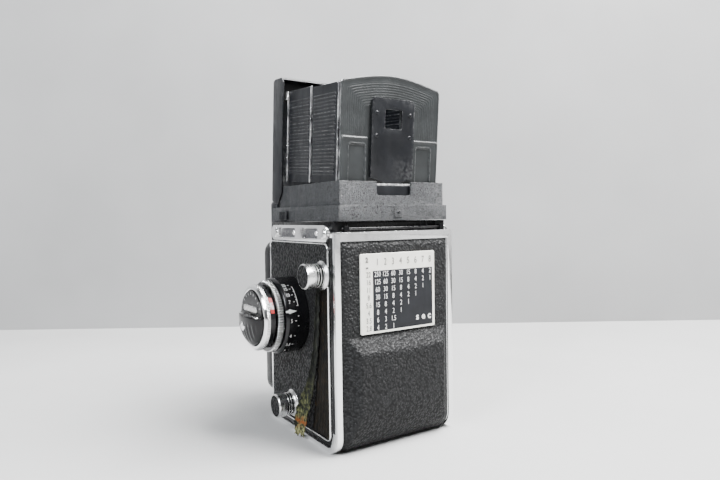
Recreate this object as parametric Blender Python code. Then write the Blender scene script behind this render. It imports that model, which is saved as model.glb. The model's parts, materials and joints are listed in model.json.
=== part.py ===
"""Twin lens reflex camera with its folding hood up, as separate named pieces.

Row frame: +Z up, the lenses look along -Y, the focusing knob is on +X and the film crank on -X.
The origin is under the middle of the body, on the underside of the hinged back. Sizes are in millimetres.
"""

import math

import bmesh
import bpy
import numpy as np
from mathutils import Matrix, Vector

MM = 0.001
GAP = 0.3  # clearance between pieces that touch on the real camera

# Body casting
BODY_W = 77.2
BODY_FRONT = -41.5
BODY_REAR = 36.7
BODY_BOTTOM = 2.6
BODY_TOP = 118.6
BOSS_OUT = 6.5
CHAMBER_W = BODY_W - 10.4
TOP_COVER_TOP = BODY_TOP + 5.7
TOP_COVER_REAR = 38.3

# Optics
TAKE_Z = 47.0
VIEW_Z = BODY_TOP - 30.6
SCREEN_W = CHAMBER_W - 6.8
SCREEN_Y = -3.0

# Hinged back and bottom
DOOR_W = BODY_W + 2.8
DOOR_REAR = 42.0
DOOR_FRONT = 37.0
DOOR_R = 10.0
DOOR_FLOOR = 2.3
DOOR_PIVOT_Y = 40.6
DOOR_PIVOT_Z = BODY_TOP + 1.9
LEATHER_W = DOOR_W - 7.2
LEATHER_TOP = BODY_TOP - 4.8
BULGE_W = LEATHER_W - 5.6
BULGE_TOP = 60.5
BULGE_OUT = 6.8
TABLE_W = 50.6
TABLE_Z = (63.6, 106.9)
SOCKET_Y = 18.0
SOCKET_BORE_R = 3.2

# Focusing knob
FOCUS_Y = -10.0
FOCUS_Z = 70.0
DRUM_R = 22.0
DRUM_X = BODY_W / 2 + 14.9
RING_R = DRUM_R - 1.5
RING_X = DRUM_X + 4.5
BAND_R = RING_R - 2.3
BAND_X = RING_X + 3.5
RIM_R = RING_R - 1.5
RIM_X = BAND_X + 3.5
DOME_R = RIM_R - 3.5
DOME_X = RIM_X + 6.0

# Spool knobs and spools
TAKE_UP = (26.5, BODY_TOP - 23.2)
SUPPLY = (-12.2, 15.6)
SPOOL_R = 12.4
SPOOL_LEN = CHAMBER_W - 1.8
KNOB_R = 6.9
KNOB_X = BODY_W / 2 + 12.4
KNOB_FLANGE_R = KNOB_R + 1.1
KNOB_SHAFT_R = 2.8

# Film crank on the other side
CRANK = (-6.0, 62.0)
CRANK_R = 12.5
CRANK_ARM = 27.0

# Lens board
BOARD_W = BODY_W - 5.2
BOARD_Z = (11.0, BODY_TOP - 6.6)
BOARD_FRONT = -58.0
BOARD_REAR = -46.2
BOARD_WALL = 2.0
BOARD_R = 8.0
SHUTTER_R = 15.0

# Hood
BASE_BOTTOM = TOP_COVER_TOP + GAP
BASE_LEDGE = BASE_BOTTOM + 8.4
BASE_RIM = BASE_LEDGE + 13.0
BASE_LEDGE_W = BODY_W - 3.0
BASE_W = BASE_LEDGE_W - 3.0
BASE_WALL = 1.15
BASE_REAR = 39.8
BASE_FRONT = -41.6
NOTCH_W = 23.4
NOTCH_Z = BASE_LEDGE + 5.4
HOOD_Y = -29.0
HOOD_Z = BASE_LEDGE + 5.0
LEAN = 4.5
LID_W = BASE_W + 2.8
LID_OUT = 13.0
LID_EDGE = 0.8
LID_TOP = 74.5
LID_WALL = 1.2
LEAF_X = BASE_W / 2 - 2.8
LEAF_T = 0.8
LEAF_L = 29.8
LEAF_START = 1.5
LEAF_V = (11.5, 66.0)
PIN_R = 0.55
PANEL_BACK = 64.4
PANEL_V = (12.5, 66.0)
PANEL_ARCH = 5.0
EYEPIECE_W = 28.5
EYEPIECE_V = (15.3, 58.5)
EYEPIECE_OUT = 1.4
FLAP_W = 30.0
FLAP_V = (21.0, 45.0)
MAGNIFIER_R = 10.0
MAGNIFIER_V = (48.0, 70.5)

MATERIALS = {
    "black_paint": ((0.02, 0.02, 0.022), 0.4, 0.0),
    "crinkle": ((0.045, 0.045, 0.05), 0.7, 0.0),
    "hood_black": ((0.025, 0.028, 0.033), 0.45, 0.3),
    "leather": ((0.018, 0.018, 0.02), 0.6, 0.0),
    "chrome": ((0.8, 0.8, 0.8), 0.15, 1.0),
    "satin": ((0.72, 0.72, 0.7), 0.35, 1.0),
    "glass": ((0.5, 0.55, 0.65), 0.05, 0.0),
    "plate": ((0.82, 0.8, 0.74), 0.4, 0.6),
    "dial_black": ((0.015, 0.015, 0.015), 0.3, 0.0),
    "steel": ((0.45, 0.45, 0.45), 0.35, 1.0),
    "plastic": ((0.03, 0.03, 0.03), 0.5, 0.0),
    "red": ((0.7, 0.05, 0.07), 0.4, 0.0),
}


def clear_scene():
    """Remove whatever the scene holds."""
    for obj in list(bpy.data.objects):
        bpy.data.objects.remove(obj, do_unlink=True)


def material(name, key):
    """A Principled material of one sub-part, with the colour and finish of its kind."""
    colour, rough, metal = MATERIALS[key]
    mat = bpy.data.materials.new(name)
    mat.use_nodes = True
    shader = mat.node_tree.nodes["Principled BSDF"]
    shader.inputs["Base Color"].default_value = (*colour, 1.0)
    shader.inputs["Roughness"].default_value = rough
    shader.inputs["Metallic"].default_value = metal
    return mat


def object_of(name, bm):
    """An object whose mesh is bm, given in millimetres."""
    bmesh.ops.recalc_face_normals(bm, faces=bm.faces)
    bmesh.ops.scale(bm, vec=(MM, MM, MM), verts=bm.verts)
    mesh = bpy.data.meshes.new(name)
    bm.to_mesh(mesh)
    bm.free()
    obj = bpy.data.objects.new(name, mesh)
    bpy.context.collection.objects.link(obj)
    return obj


def box(low, high, bevel=0.0, edges="XYZ", segments=2):
    """A box between two corners. Edges along the named axes are rounded by bevel."""
    bm = bmesh.new()
    bmesh.ops.create_cube(bm, size=1.0)
    low, high = Vector(low), Vector(high)
    size = high - low
    for v in bm.verts:
        v.co = Vector(low[i] + (v.co[i] + 0.5) * size[i] for i in range(3))
    if bevel:
        chosen = []
        for e in bm.edges:
            run = e.verts[0].co - e.verts[1].co
            axis = max(range(3), key=lambda i: abs(run[i]))
            if "XYZ"[axis] in edges:
                chosen.append(e)
        bmesh.ops.bevel(
            bm, geom=chosen, offset=bevel, segments=segments, profile=0.5, affect="EDGES"
        )
    return object_of("tool", bm)


def place(axis, along, p):
    """A point from a position along an axis and the two coordinates across it, in X, Y, Z order."""
    p = list(p)
    p.insert("XYZ".index(axis), along)
    return p


def prism(axis, start, end, outline):
    """An outline across an axis, extruded from start to end along it."""
    bm = bmesh.new()
    verts = [bm.verts.new(place(axis, start, p)) for p in outline]
    face = bm.faces.new(verts)
    made = bmesh.ops.extrude_face_region(bm, geom=[face])["geom"]
    shift = Vector(place(axis, end - start, (0.0, 0.0)))
    bmesh.ops.translate(bm, vec=shift, verts=[g for g in made if isinstance(g, bmesh.types.BMVert)])
    return object_of("tool", bm)


def lathe(axis, centre, profile, segments=48):
    """A closed profile of (radius, position along the axis) turned about an axis through centre."""
    bm = bmesh.new()
    rings = []
    for radius, along in profile:
        if radius < 1e-6:
            rings.append([bm.verts.new(place(axis, along, centre))])
            continue
        ring = []
        for i in range(segments):
            a = 2 * math.pi * i / segments
            across = (centre[0] + radius * math.cos(a), centre[1] + radius * math.sin(a))
            ring.append(bm.verts.new(place(axis, along, across)))
        rings.append(ring)
    for here, there in zip(rings, rings[1:] + rings[:1]):
        if len(here) == 1 and len(there) == 1:
            continue
        for i in range(segments):
            j = (i + 1) % segments
            if len(here) == 1:
                bm.faces.new((here[0], there[j], there[i]))
            elif len(there) == 1:
                bm.faces.new((here[i], here[j], there[0]))
            else:
                bm.faces.new((here[i], here[j], there[j], there[i]))
    return object_of("tool", bm)


def rod(axis, centre, radius, start, end, segments=24):
    """A solid round bar."""
    return lathe(axis, centre, [(0, start), (radius, start), (radius, end), (0, end)], segments)


def hull(points):
    """The convex body around some points."""
    bm = bmesh.new()
    for p in points:
        bm.verts.new(p)
    made = bmesh.ops.convex_hull(bm, input=bm.verts)
    bmesh.ops.delete(bm, geom=made["geom_interior"], context="VERTS")
    bmesh.ops.dissolve_limit(bm, angle_limit=0.01, verts=bm.verts, edges=bm.edges)
    return object_of("tool", bm)


def combine(target, operation, tools):
    """Apply Booleans to target, one tool after another, and remove the tools."""
    for tool in tools:
        step = target.modifiers.new("step", "BOOLEAN")
        step.operation = operation
        step.solver = "EXACT"
        step.object = tool
        bpy.context.view_layer.update()
        shape = target.evaluated_get(bpy.context.evaluated_depsgraph_get())
        mesh = bpy.data.meshes.new_from_object(shape)
        target.modifiers.clear()
        target.data = mesh
        bpy.data.objects.remove(tool, do_unlink=True)
    return target


def cut(target, *tools):
    return combine(target, "DIFFERENCE", tools)


def join(target, *tools):
    return combine(target, "UNION", tools)


def rounded(width, low, high, radius, steps=4, inset=0.0):
    """The outline of an upright rectangle centred on zero, with round corners."""
    w, lo, hi, r = width / 2 - inset, low + inset, high - inset, radius - inset
    points = []
    for cx, cz, first in ((w - r, hi - r, 0), (r - w, hi - r, 90), (r - w, lo + r, 180), (w - r, lo + r, 270)):
        for i in range(steps + 1):
            a = math.radians(first + 90 * i / steps)
            points.append((cx + r * math.cos(a), cz + r * math.sin(a)))
    return points


def gear_outline(centre, tip, root, teeth, duty=0.5):
    """A knurled edge: flat-topped teeth between two radii."""
    points = []
    for i in range(teeth):
        for share, radius in ((0.0, root), (0.18, tip), (duty + 0.1, tip), (duty + 0.28, root)):
            a = 2 * math.pi * (i + share) / teeth
            points.append((centre[0] + radius * math.cos(a), centre[1] + radius * math.sin(a)))
    return points


def turned_to_hood(obj):
    """Move a piece drawn upright about the hood hinge to the hinge, leaning back with the lid."""
    lean = Matrix.Rotation(math.radians(-LEAN), 4, "X")
    obj.data.transform(Matrix.Translation(Vector((0, HOOD_Y, HOOD_Z)) * MM) @ lean)
    return obj


def in_hood(x, u, v):
    """The place of a point drawn at (x, u, v) in the hood: u behind its hinge, v up along the lid."""
    a = math.radians(LEAN)
    return (
        x,
        HOOD_Y + u * math.cos(a) + v * math.sin(a),
        HOOD_Z + v * math.cos(a) - u * math.sin(a),
    )


def finish(name, obj, kind, pivot=(0, 0, 0), parent=None):
    """Name a piece, put its origin on its joint's axis, and give it its material."""
    obj.name = name
    obj.data.name = name
    at = Vector(pivot) * MM
    obj.data.transform(Matrix.Translation(-at))
    obj.location = at
    if parent:
        obj.parent = parent
        obj.matrix_parent_inverse = Matrix.Translation(-parent.location)
    obj.data.materials.clear()
    obj.data.materials.append(material(name, kind))
    obj.data.shade_smooth()
    obj.data.set_sharp_from_angle(angle=math.radians(30))
    return obj


def pivot(name, at):
    """An empty on a joint's axis, for pieces that move together."""
    empty = bpy.data.objects.new(name, None)
    empty.location = Vector(at) * MM
    bpy.context.collection.objects.link(empty)
    return empty


clear_scene()

half = BODY_W / 2
chamber = CHAMBER_W / 2

# ---- Body casting: walls round the film chamber, the taking chamber and the mirror box ----
shell = box((-half, BODY_FRONT, BODY_BOTTOM), (half, BODY_REAR, BODY_TOP), 1.5, "Z")
boss = prism("Y", BODY_FRONT - BOSS_OUT, BODY_FRONT + 1, rounded(BOARD_W, *BOARD_Z, BOARD_R, 3, BOARD_WALL + 0.35))
join(shell, boss)
film_box = prism(
    "X",
    -chamber,
    chamber,
    [(-27, -5), (3, -5), (60, -5), (60, 112), (26.7, 112), (12, 100.8), (12, 82), (33.5, 82), (33.5, 15.8), (3, 15.8), (3, 29), (-27, 29)],
)
gate = prism("X", -28.2, 28.2, [(-45, 30.5), (4.5, 32), (20, 19), (35, 19), (35, 75), (-45, 75)])
lens_box_front = BODY_FRONT + 3
mirror_box = prism(
    "X", -29, 29, [(lens_box_front, 78), (-12.8, 78), (27.8, 118.6), (30, 120.8), (lens_box_front, 120.8)]
)
cut(
    shell,
    film_box,
    gate,
    mirror_box,
    rod("Y", (0, VIEW_Z), 9.8, BODY_FRONT - 10, lens_box_front + 1, 32),
    rod("Y", (0, TAKE_Z), SHUTTER_R + 1.5, BODY_FRONT - 10, BODY_FRONT + 1, 28),
    prism("X", -45, 45, [(29.8, 2.0), (33.6, 4.0), (36.5, 11.4), (39, 11.4), (39, 2.0)]),
    rod("X", TAKE_UP, KNOB_SHAFT_R + GAP, 30, 45, 20),
    rod("X", SUPPLY, KNOB_SHAFT_R + GAP, 30, 45, 20),
    rod("X", TAKE_UP, KNOB_SHAFT_R + GAP, -45, -30, 20),
)
finish("body_shell", shell, "black_paint")

top = box((-half, BODY_FRONT, BODY_TOP + GAP), (half, TOP_COVER_REAR, TOP_COVER_TOP), 2.2, "Z")
cut(top, box((-SCREEN_W / 2 - GAP, SCREEN_Y - SCREEN_W / 2 - GAP, 110), (SCREEN_W / 2 + GAP, SCREEN_Y + SCREEN_W / 2 + GAP, 130)))
finish("top_cover", top, "black_paint")

screen_z = BODY_TOP + GAP
screen = box(
    (-SCREEN_W / 2, SCREEN_Y - SCREEN_W / 2, screen_z),
    (SCREEN_W / 2, SCREEN_Y + SCREEN_W / 2, screen_z + 2.0),
)
finish("focusing_screen", screen, "glass")
mirror = prism("X", -27.5, 27.5, [(-11, 80.3), (-12.9, 80.6), (22.0, 115.5), (23.6, 114.9)])
finish("viewing_mirror", mirror, "glass")

# ---- Leather and its chrome beads on both sides ----
bead_low, bead_high = 5.4, 113.0
bead_front, bead_rear = BODY_FRONT + 1.1, 33.8
middle = (bead_front + bead_rear) / 2
width = bead_rear - bead_front


def side_outline(inset):
    return [(middle + u, v) for u, v in rounded(width, bead_low, bead_high, 4.0, 4, inset)]


for side, sign in (("right", 1), ("left", -1)):
    inner, outer = sign * (half + GAP), sign * (half + 1.3)
    bead = prism("X", inner, outer, side_outline(0.0))
    cut(bead, prism("X", inner - sign, outer + sign, side_outline(0.9)))
    if sign > 0:
        cut(bead, rod("X", TAKE_UP, KNOB_FLANGE_R + GAP, 30, 50, 20))
    finish(side + "_trim_bead", bead, "chrome")
    skin = prism("X", inner, sign * (half + 1.05), side_outline(0.9 + GAP))
    holes = []
    if sign > 0:
        holes.append(rod("X", (FOCUS_Y, FOCUS_Z), DRUM_R + GAP, 30, 50, 32))
        holes.append(rod("X", TAKE_UP, KNOB_FLANGE_R + GAP, 30, 50, 24))
        holes.append(rod("X", SUPPLY, KNOB_FLANGE_R + GAP, 30, 50, 24))
    else:
        holes.append(rod("X", CRANK, CRANK_R + 2.5 + GAP, -50, -30, 28))
        holes.append(rod("X", (CRANK[0] + 22, CRANK[1] + 24), 5.5 + GAP, -50, -30, 24))
    cut(skin, *holes)
    finish(side + "_leather", skin, "leather")

    lug = prism("X", inner, sign * (half + 2.6), [(1.3 + u, v) for u, v in rounded(70.6, bead_high + 0.5, 122.5, 4.3, 4)])
    near, far = sorted((sign * (half + 0.8), sign * (half + 5)))
    cut(
        lug,
        box((near, -23, 115.0), (far, -1.6, 121.0), 0.8, "X"),
        box((near, 7.0, 115.0), (far, 25.5, 121.0), 0.8, "X"),
    )
    dome_start, dome_end = sign * (half + 1.6), sign * (half + 3.5)
    for y in (-27.5, 32.0):
        head = [(0, dome_start), (3.0, dome_start), (3.0, sign * (half + 2.7)), (1.9, dome_end), (0, dome_end)]
        join(lug, lathe("X", (y, 118.0), head, 20))
    finish(side + "_strap_lug", lug, "chrome")

# ---- Hinged back: one L of back and bottom, with its leather, exposure table and fittings ----
hinge = pivot("back_hinge_axis", (0, DOOR_PIVOT_Y, DOOR_PIVOT_Z))


def door_outline(inset, top, front):
    """The outside of the back and bottom seen from the side, moved in by inset."""
    r = DOOR_R - inset
    cy, cz = DOOR_REAR - DOOR_R, DOOR_R
    arc = [
        (cy + r * math.sin(math.radians(a)), cz - r * math.cos(math.radians(a)))
        for a in np.linspace(0, 90, 13)
    ]
    return [(front, inset)] + arc + [(DOOR_REAR - inset, top)]


outer = door_outline(0.0, BODY_TOP, BODY_FRONT)
door = prism(
    "X",
    -DOOR_W / 2,
    DOOR_W / 2,
    outer + [(DOOR_FRONT, BODY_TOP), (DOOR_FRONT, DOOR_FLOOR + 8), (34.4, DOOR_FLOOR + 1.2), (31, DOOR_FLOOR), (BODY_FRONT, DOOR_FLOOR)],
)
recess = prism(
    "X",
    -LEATHER_W / 2 - GAP,
    LEATHER_W / 2 + GAP,
    door_outline(1.0, LEATHER_TOP + GAP, DOOR_REAR - DOOR_R - 0.6)
    + [(DOOR_REAR + 5, LEATHER_TOP + GAP), (DOOR_REAR + 5, -5), (DOOR_REAR - DOOR_R - 0.6, -5)],
)
inside = box((-35.5, DOOR_FRONT - 1, 18), (35.5, DOOR_FRONT + 2.1, 112), 2.0, "Y")
latch_hole = rod("Z", (0, SOCKET_Y), 13.0, -1, DOOR_FLOOR + 1, 28)
cut(door, recess, inside, latch_hole)
for sign in (1, -1):
    ear = box(
        (sign * 32.5 - 1.5, DOOR_PIVOT_Y - 1.3, BODY_TOP - 1), (sign * 32.5 + 1.5, DOOR_REAR - 0.1, DOOR_PIVOT_Z + 1.5)
    )
    cut(ear, rod("X", (DOOR_PIVOT_Y, DOOR_PIVOT_Z), 1.0, -40, 40, 12))
    join(door, ear)
door_pivot = (0, DOOR_PIVOT_Y, DOOR_PIVOT_Z)
finish("back_door", door, "chrome", door_pivot, hinge)
pin = rod("X", (DOOR_PIVOT_Y, DOOR_PIVOT_Z), 0.7, -35, 35, 12)
finish("back_hinge_pin", pin, "steel")

start_y = DOOR_REAR - DOOR_R
skin_out = door_outline(0.3, LEATHER_TOP, start_y - 0.2)
skin_in = door_outline(0.95 - GAP + 0.05, LEATHER_TOP, start_y - 0.2)
leather = prism(
    "X", -LEATHER_W / 2, LEATHER_W / 2, skin_out[:-1] + [(DOOR_REAR + 0.4, 14), (DOOR_REAR + 0.4, LEATHER_TOP)] + skin_in[::-1]
)
bulge = []
for w, y, z in (
    (BULGE_W / 2, DOOR_REAR, BULGE_TOP),
    (BULGE_W / 2 - 6.6, DOOR_REAR + BULGE_OUT + 0.4, BULGE_TOP - 6),
    (BULGE_W / 2 - 6.6, DOOR_REAR + BULGE_OUT, 24),
    (BULGE_W / 2 - 4.6, DOOR_REAR + BULGE_OUT - 3.0, 13),
    (BULGE_W / 2 - 2, DOOR_REAR - 0.4, 6.2),
    (BULGE_W / 2, DOOR_REAR, 14),
):
    bulge += [(w, y, z), (-w, y, z)]
join(leather, hull(bulge))
finish("back_leather", leather, "leather", door_pivot, hinge)

table = box(
    (-TABLE_W / 2, DOOR_REAR + 0.4 + GAP, TABLE_Z[0]), (TABLE_W / 2, DOOR_REAR + 1.5, TABLE_Z[1]), 0.6, "Y", 1
)
finish("exposure_table", table, "plate", door_pivot, hinge)
plate = box((-31, DOOR_FRONT - 3.1, 17.5), (31, DOOR_FRONT - 1.6, 77), 3.0, "Y")
finish("pressure_plate", plate, "black_paint", door_pivot, hinge)
spring = prism(
    "X", -6, 6, [(DOOR_FRONT - 1.2, 30), (DOOR_FRONT - 0.9, 30), (DOOR_FRONT + 1.8, 47), (DOOR_FRONT - 0.9, 64), (DOOR_FRONT - 1.2, 64), (DOOR_FRONT + 1.3, 47)]
)
finish("pressure_spring", spring, "steel", door_pivot, hinge)
socket = lathe(
    "Z",
    (0, SOCKET_Y),
    [(SOCKET_BORE_R, 0), (9.0, 0), (9.0, 1.2), (6.0, 1.2), (6.0, 7.0), (SOCKET_BORE_R, 7.0)],
    24,
)
finish("tripod_socket", socket, "steel", door_pivot, hinge)
latch = lathe("Z", (0, SOCKET_Y), [(9.3, 0.1), (12.7, 0.1), (12.7, 1.2), (9.3, 1.2)], 28)
join(latch, box((-2.2, SOCKET_Y - 12.4, 0.1), (2.2, SOCKET_Y - 9.8, 2.2)))
finish("door_latch", latch, "satin", (0, SOCKET_Y, 1), hinge)

# ---- Focusing knob: fixed scale drum and meter dome, with the turning rings between them ----
focus = (FOCUS_Y, FOCUS_Z)
drum = lathe(
    "X",
    focus,
    [(0, half + GAP), (DRUM_R, half + GAP), (DRUM_R, DRUM_X - 3), (DRUM_R - 0.8, DRUM_X), (0, DRUM_X)],
    36,
)
finish("focus_scale_drum", drum, "dial_black")
knob_pivot = pivot("focus_knob_axis", (DRUM_X, *focus))
stem_r = 3.0
ring = prism("X", DRUM_X + GAP, RING_X, gear_outline(focus, RING_R, RING_R - 0.9, 28))
pointer = prism(
    "X", DRUM_X - 2.2, RING_X - 1, [(FOCUS_Y + dy, FOCUS_Z + dz) for dy, dz in ((DRUM_R + 0.4, -1.5), (DRUM_R + 1.0, -1.2), (DRUM_R + 1.0, 1.2), (DRUM_R + 0.4, 1.5))]
)
bridge = prism(
    "X", DRUM_X + GAP, RING_X - 1, [(FOCUS_Y + dy, FOCUS_Z + dz) for dy, dz in ((DRUM_R - 4.0, -1.5), (DRUM_R + 1.0, -1.2), (DRUM_R + 1.0, 1.2), (DRUM_R - 4.0, 1.5))]
)
join(ring, bridge, pointer)
cut(ring, rod("X", focus, stem_r + GAP, DRUM_X - 1, RING_X + 1, 20))
at = (DRUM_X, *focus)
finish("focus_knob_ring", ring, "chrome", at, knob_pivot)
band = lathe(
    "X", focus, [(stem_r + GAP, RING_X + GAP), (BAND_R, RING_X + GAP), (BAND_R, BAND_X), (stem_r + GAP, BAND_X)], 30
)
finish("film_speed_band", band, "dial_black", at, knob_pivot)
rim = lathe(
    "X",
    focus,
    [
        (stem_r + GAP, BAND_X + GAP),
        (RIM_R, BAND_X + GAP),
        (RIM_R, RIM_X - 0.5),
        (RIM_R - 0.5, RIM_X),
        (DOME_R + GAP, RIM_X),
        (DOME_R + GAP, BAND_X + 1.2),
        (stem_r + GAP, BAND_X + 1.2),
    ],
    30,
)
finish("knob_front_ring", rim, "chrome", at, knob_pivot)
dome = lathe(
    "X",
    focus,
    [
        (0, DRUM_X + GAP),
        (stem_r, DRUM_X + GAP),
        (stem_r, BAND_X + 1.5),
        (DOME_R, BAND_X + 1.5),
        (DOME_R, RIM_X),
        (DOME_R - 1.5, DOME_X - 3.0),
        (DOME_R - 5, DOME_X - 0.6),
        (0, DOME_X),
    ],
    28,
)
cut(dome, box((DOME_X - 4.2, FOCUS_Y - 13, FOCUS_Z + 2.0), (DOME_X + 3, FOCUS_Y + 13, FOCUS_Z + 20)))
join(dome, box((DOME_X - 5.0, FOCUS_Y - 11, FOCUS_Z + 1.6), (DOME_X - 0.2, FOCUS_Y + 11, FOCUS_Z + 3.4)))
join(dome, rod("X", (FOCUS_Y - 1, FOCUS_Z - 2.5), 2.6, DOME_X - 2, DOME_X + 0.8, 20))
finish("exposure_dial_dome", dome, "dial_black")

# ---- Pull-out spool knobs, spools and film rollers ----
spool_half = SPOOL_LEN / 2
for name, (y, z) in (("upper", TAKE_UP), ("lower", SUPPLY)):
    profile = [
        (0, 33.8),
        (KNOB_SHAFT_R, 33.8),
        (KNOB_SHAFT_R, half + GAP),
        (KNOB_FLANGE_R, half + GAP),
        (KNOB_FLANGE_R, half + 1.9),
        (6.0, half + 2.3),
        (6.0, 45.4),
        (KNOB_R, 45.6),
        (KNOB_R, KNOB_X - 0.5),
        (KNOB_R - 0.5, KNOB_X),
        (0, KNOB_X),
    ]
    knob = lathe("X", (y, z), profile, 18)
    finish(name + "_spool_knob", knob, "chrome", (half, y, z))
for name, (y, z) in (("take_up", TAKE_UP), ("supply", SUPPLY)):
    profile = [
        (0, -spool_half),
        (SPOOL_R, -spool_half),
        (SPOOL_R, 1.0 - spool_half),
        (5.5, 1.0 - spool_half),
        (5.5, spool_half - 1.0),
        (SPOOL_R, spool_half - 1.0),
        (SPOOL_R, spool_half),
        (0, spool_half),
    ]
    spool = lathe("X", (y, z), profile, 20)
    slot = box((-spool_half + 3, y - 0.6, z - 7), (spool_half - 3, y + 0.6, z + 7))
    cut(spool, slot)
    finish(name + "_spool", spool, "plastic", (0, y, z))
for name, (y, z) in (("lower", (29.5, 11.0)), ("upper", (36.1, 80.2))):
    roller = lathe(
        "X", (y, z), [(0, -32.5), (1.2, -32.5), (1.2, -30), (2.2, -29.8), (2.2, 29.8), (1.2, 30), (1.2, 32.5), (0, 32.5)], 16
    )
    finish(name + "_film_roller", roller, "steel", (0, y, z))

# ---- Film crank, its handle and the counter window ----
crank = lathe(
    "X",
    CRANK,
    [
        (0, -half - GAP),
        (CRANK_R + 2.5, -half - GAP),
        (CRANK_R + 2.5, -half - 1.6),
        (CRANK_R, -half - 2.0),
        (CRANK_R, -half - 6.5),
        (CRANK_R - 0.8, -half - 7.2),
        (0, -half - 7.2),
    ][::-1],
    28,
)
slot_x = -half - 3.2
cut(crank, box((-half - 9, CRANK[0] - 5.2, CRANK[1] - 7.2), (slot_x, CRANK[0] + 5.2, CRANK[1] + 20)))
finish("crank_hub", crank, "satin", (-half, *CRANK))
arm_pivot = (slot_x - 1.85, CRANK[0], CRANK[1] - 4.5)
arm = prism(
    "X",
    slot_x - GAP,
    slot_x - 3.4,
    [(CRANK[0] + u, CRANK[1] + 8.0 + v) for u, v in rounded(9.4, -13.2, CRANK_ARM - 8.0, 4.6, 4)],
)
finish("crank_arm", arm, "chrome", arm_pivot)
grip_z = CRANK[1] + CRANK_ARM - 5.0
grip = lathe(
    "X",
    (CRANK[0], grip_z),
    [(0, slot_x - 3.7), (4.0, slot_x - 3.7), (4.4, slot_x - 5.2), (4.4, slot_x - 11), (3.6, slot_x - 12), (0, slot_x - 12)],
    20,
)
finish("crank_grip", grip, "chrome", (slot_x - 3.5, CRANK[0], grip_z))
window = lathe(
    "X",
    (CRANK[0] + 22, CRANK[1] + 24),
    [(0, -half - GAP), (5.5, -half - GAP), (5.5, -half - 1.6), (4.6, -half - 2.2), (0, -half - 2.2)],
    24,
)
finish("frame_counter_window", window, "glass")

# ---- Lens board with both lenses, the shutter and its controls ----
board_pivot = pivot("lens_board_slide", (0, BOARD_FRONT, TAKE_Z))
board = prism("Y", BOARD_FRONT, BOARD_REAR, rounded(BOARD_W, *BOARD_Z, BOARD_R, 4))
cut(
    board,
    prism("Y", BOARD_FRONT + 2.5, BOARD_REAR + 1, rounded(BOARD_W, *BOARD_Z, BOARD_R, 4, BOARD_WALL)),
    rod("Y", (0, TAKE_Z), 14.8, BOARD_FRONT - 1, BOARD_FRONT + 4, 30),
    rod("Y", (0, VIEW_Z), 9.6, BOARD_FRONT - 1, BOARD_FRONT + 4, 24),
    rod("Y", (24, 27), 4.3, BOARD_FRONT - 1, BOARD_FRONT + 4, 20),
)
front = (0, BOARD_FRONT, TAKE_Z)
finish("lens_board", board, "leather", front, board_pivot)


def barrel(name, z, bore, neck, flange, length):
    """A lens mount: a neck through the board and a stepped front ring with a bayonet rim."""
    y0, y1 = BOARD_FRONT - 0.3, BOARD_FRONT - length
    profile = [
        (neck, BOARD_FRONT + 3.0),
        (neck, y0),
        (flange, y0),
        (flange, y0 - 2.2),
        (neck + 3.6, y0 - 2.8),
        (neck + 3.6, y1),
        (neck + 2.4, y1),
        (neck + 1.6, y1 + 2.4),
        (bore, y1 + 4.6),
        (bore, BOARD_FRONT + 3.0),
    ]
    finish(name, lathe("Y", (0, z), profile[::-1], 30), "chrome", front, board_pivot)


def lens(name, z, radius, y, sag):
    """A thick lens with a domed front and a flat back."""
    dome = [(radius * math.sin(t), y - sag * math.cos(t)) for t in np.linspace(0, math.pi / 2, 4)]
    finish(name, lathe("Y", (0, z), dome + [(radius, y + 2.0), (0, y + 2.0)], 24), "glass", front, board_pivot)


barrel("viewing_lens_mount", VIEW_Z, 8.3, 9.3, 18.0, 9.5)
lens("viewing_lens", VIEW_Z, 8.0, BOARD_FRONT - 2.2, 1.6)
barrel("taking_lens_mount", TAKE_Z, 9.6, 14.4, 21.5, 8.0)
lens("taking_lens", TAKE_Z, 9.3, BOARD_FRONT - 1.2, 1.6)
shutter = lathe(
    "Y",
    (0, TAKE_Z),
    [
        (8.5, BOARD_FRONT + 3.3),
        (26.0, BOARD_FRONT + 3.3),
        (26.0, BOARD_FRONT + 5.0),
        (SHUTTER_R, BOARD_FRONT + 5.0),
        (SHUTTER_R, BOARD_FRONT + 13),
        (8.5, BOARD_FRONT + 13),
    ],
    28,
)
finish("leaf_shutter", shutter, "steel", front, board_pivot)
wheel_z = (TAKE_Z + VIEW_Z) / 2 + 3.0
for name, sign in (("aperture_wheel", 1), ("shutter_speed_wheel", -1)):
    centre = (sign * 25.5, wheel_z)
    wheel = prism("Y", BOARD_FRONT - 5.6, BOARD_FRONT - 1.2, gear_outline(centre, 5.6, 5.0, 14))
    join(wheel, rod("Y", centre, 3.0, BOARD_FRONT - 1.5, BOARD_FRONT - GAP, 16))
    finish(name, wheel, "satin", (centre[0], BOARD_FRONT - 3, centre[1]), board_pivot)
button = lathe(
    "Y",
    (24, 27),
    [(0, BOARD_FRONT + 4), (4.0, BOARD_FRONT + 4), (4.0, BOARD_FRONT - 3.4), (3.2, BOARD_FRONT - 4.2), (0, BOARD_FRONT - 4.2)],
    24,
)
finish("release_button", button, "chrome", (24, BOARD_FRONT, 27), board_pivot)
lever = prism(
    "Y", BOARD_FRONT - 3.6, BOARD_FRONT - 2.0, [(-24, 25), (-22, 25), (-21.4, 37), (-24.6, 37)]
)
join(lever, rod("Y", (-23, 37.5), 2.6, BOARD_FRONT - 3.6, BOARD_FRONT - GAP, 16))
join(lever, rod("Y", (-23, 25.0), 1.8, BOARD_FRONT - 6.4, BOARD_FRONT - 2.0, 16))
finish("self_timer_lever", lever, "satin", (-23, BOARD_FRONT, 37.5), board_pivot)
sync = lathe(
    "Y",
    (-27, 18.8),
    [(1.6, BOARD_FRONT - GAP), (3.3, BOARD_FRONT - GAP), (3.3, BOARD_FRONT - 3.4), (1.6, BOARD_FRONT - 3.4)][::-1],
    20,
)
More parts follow.
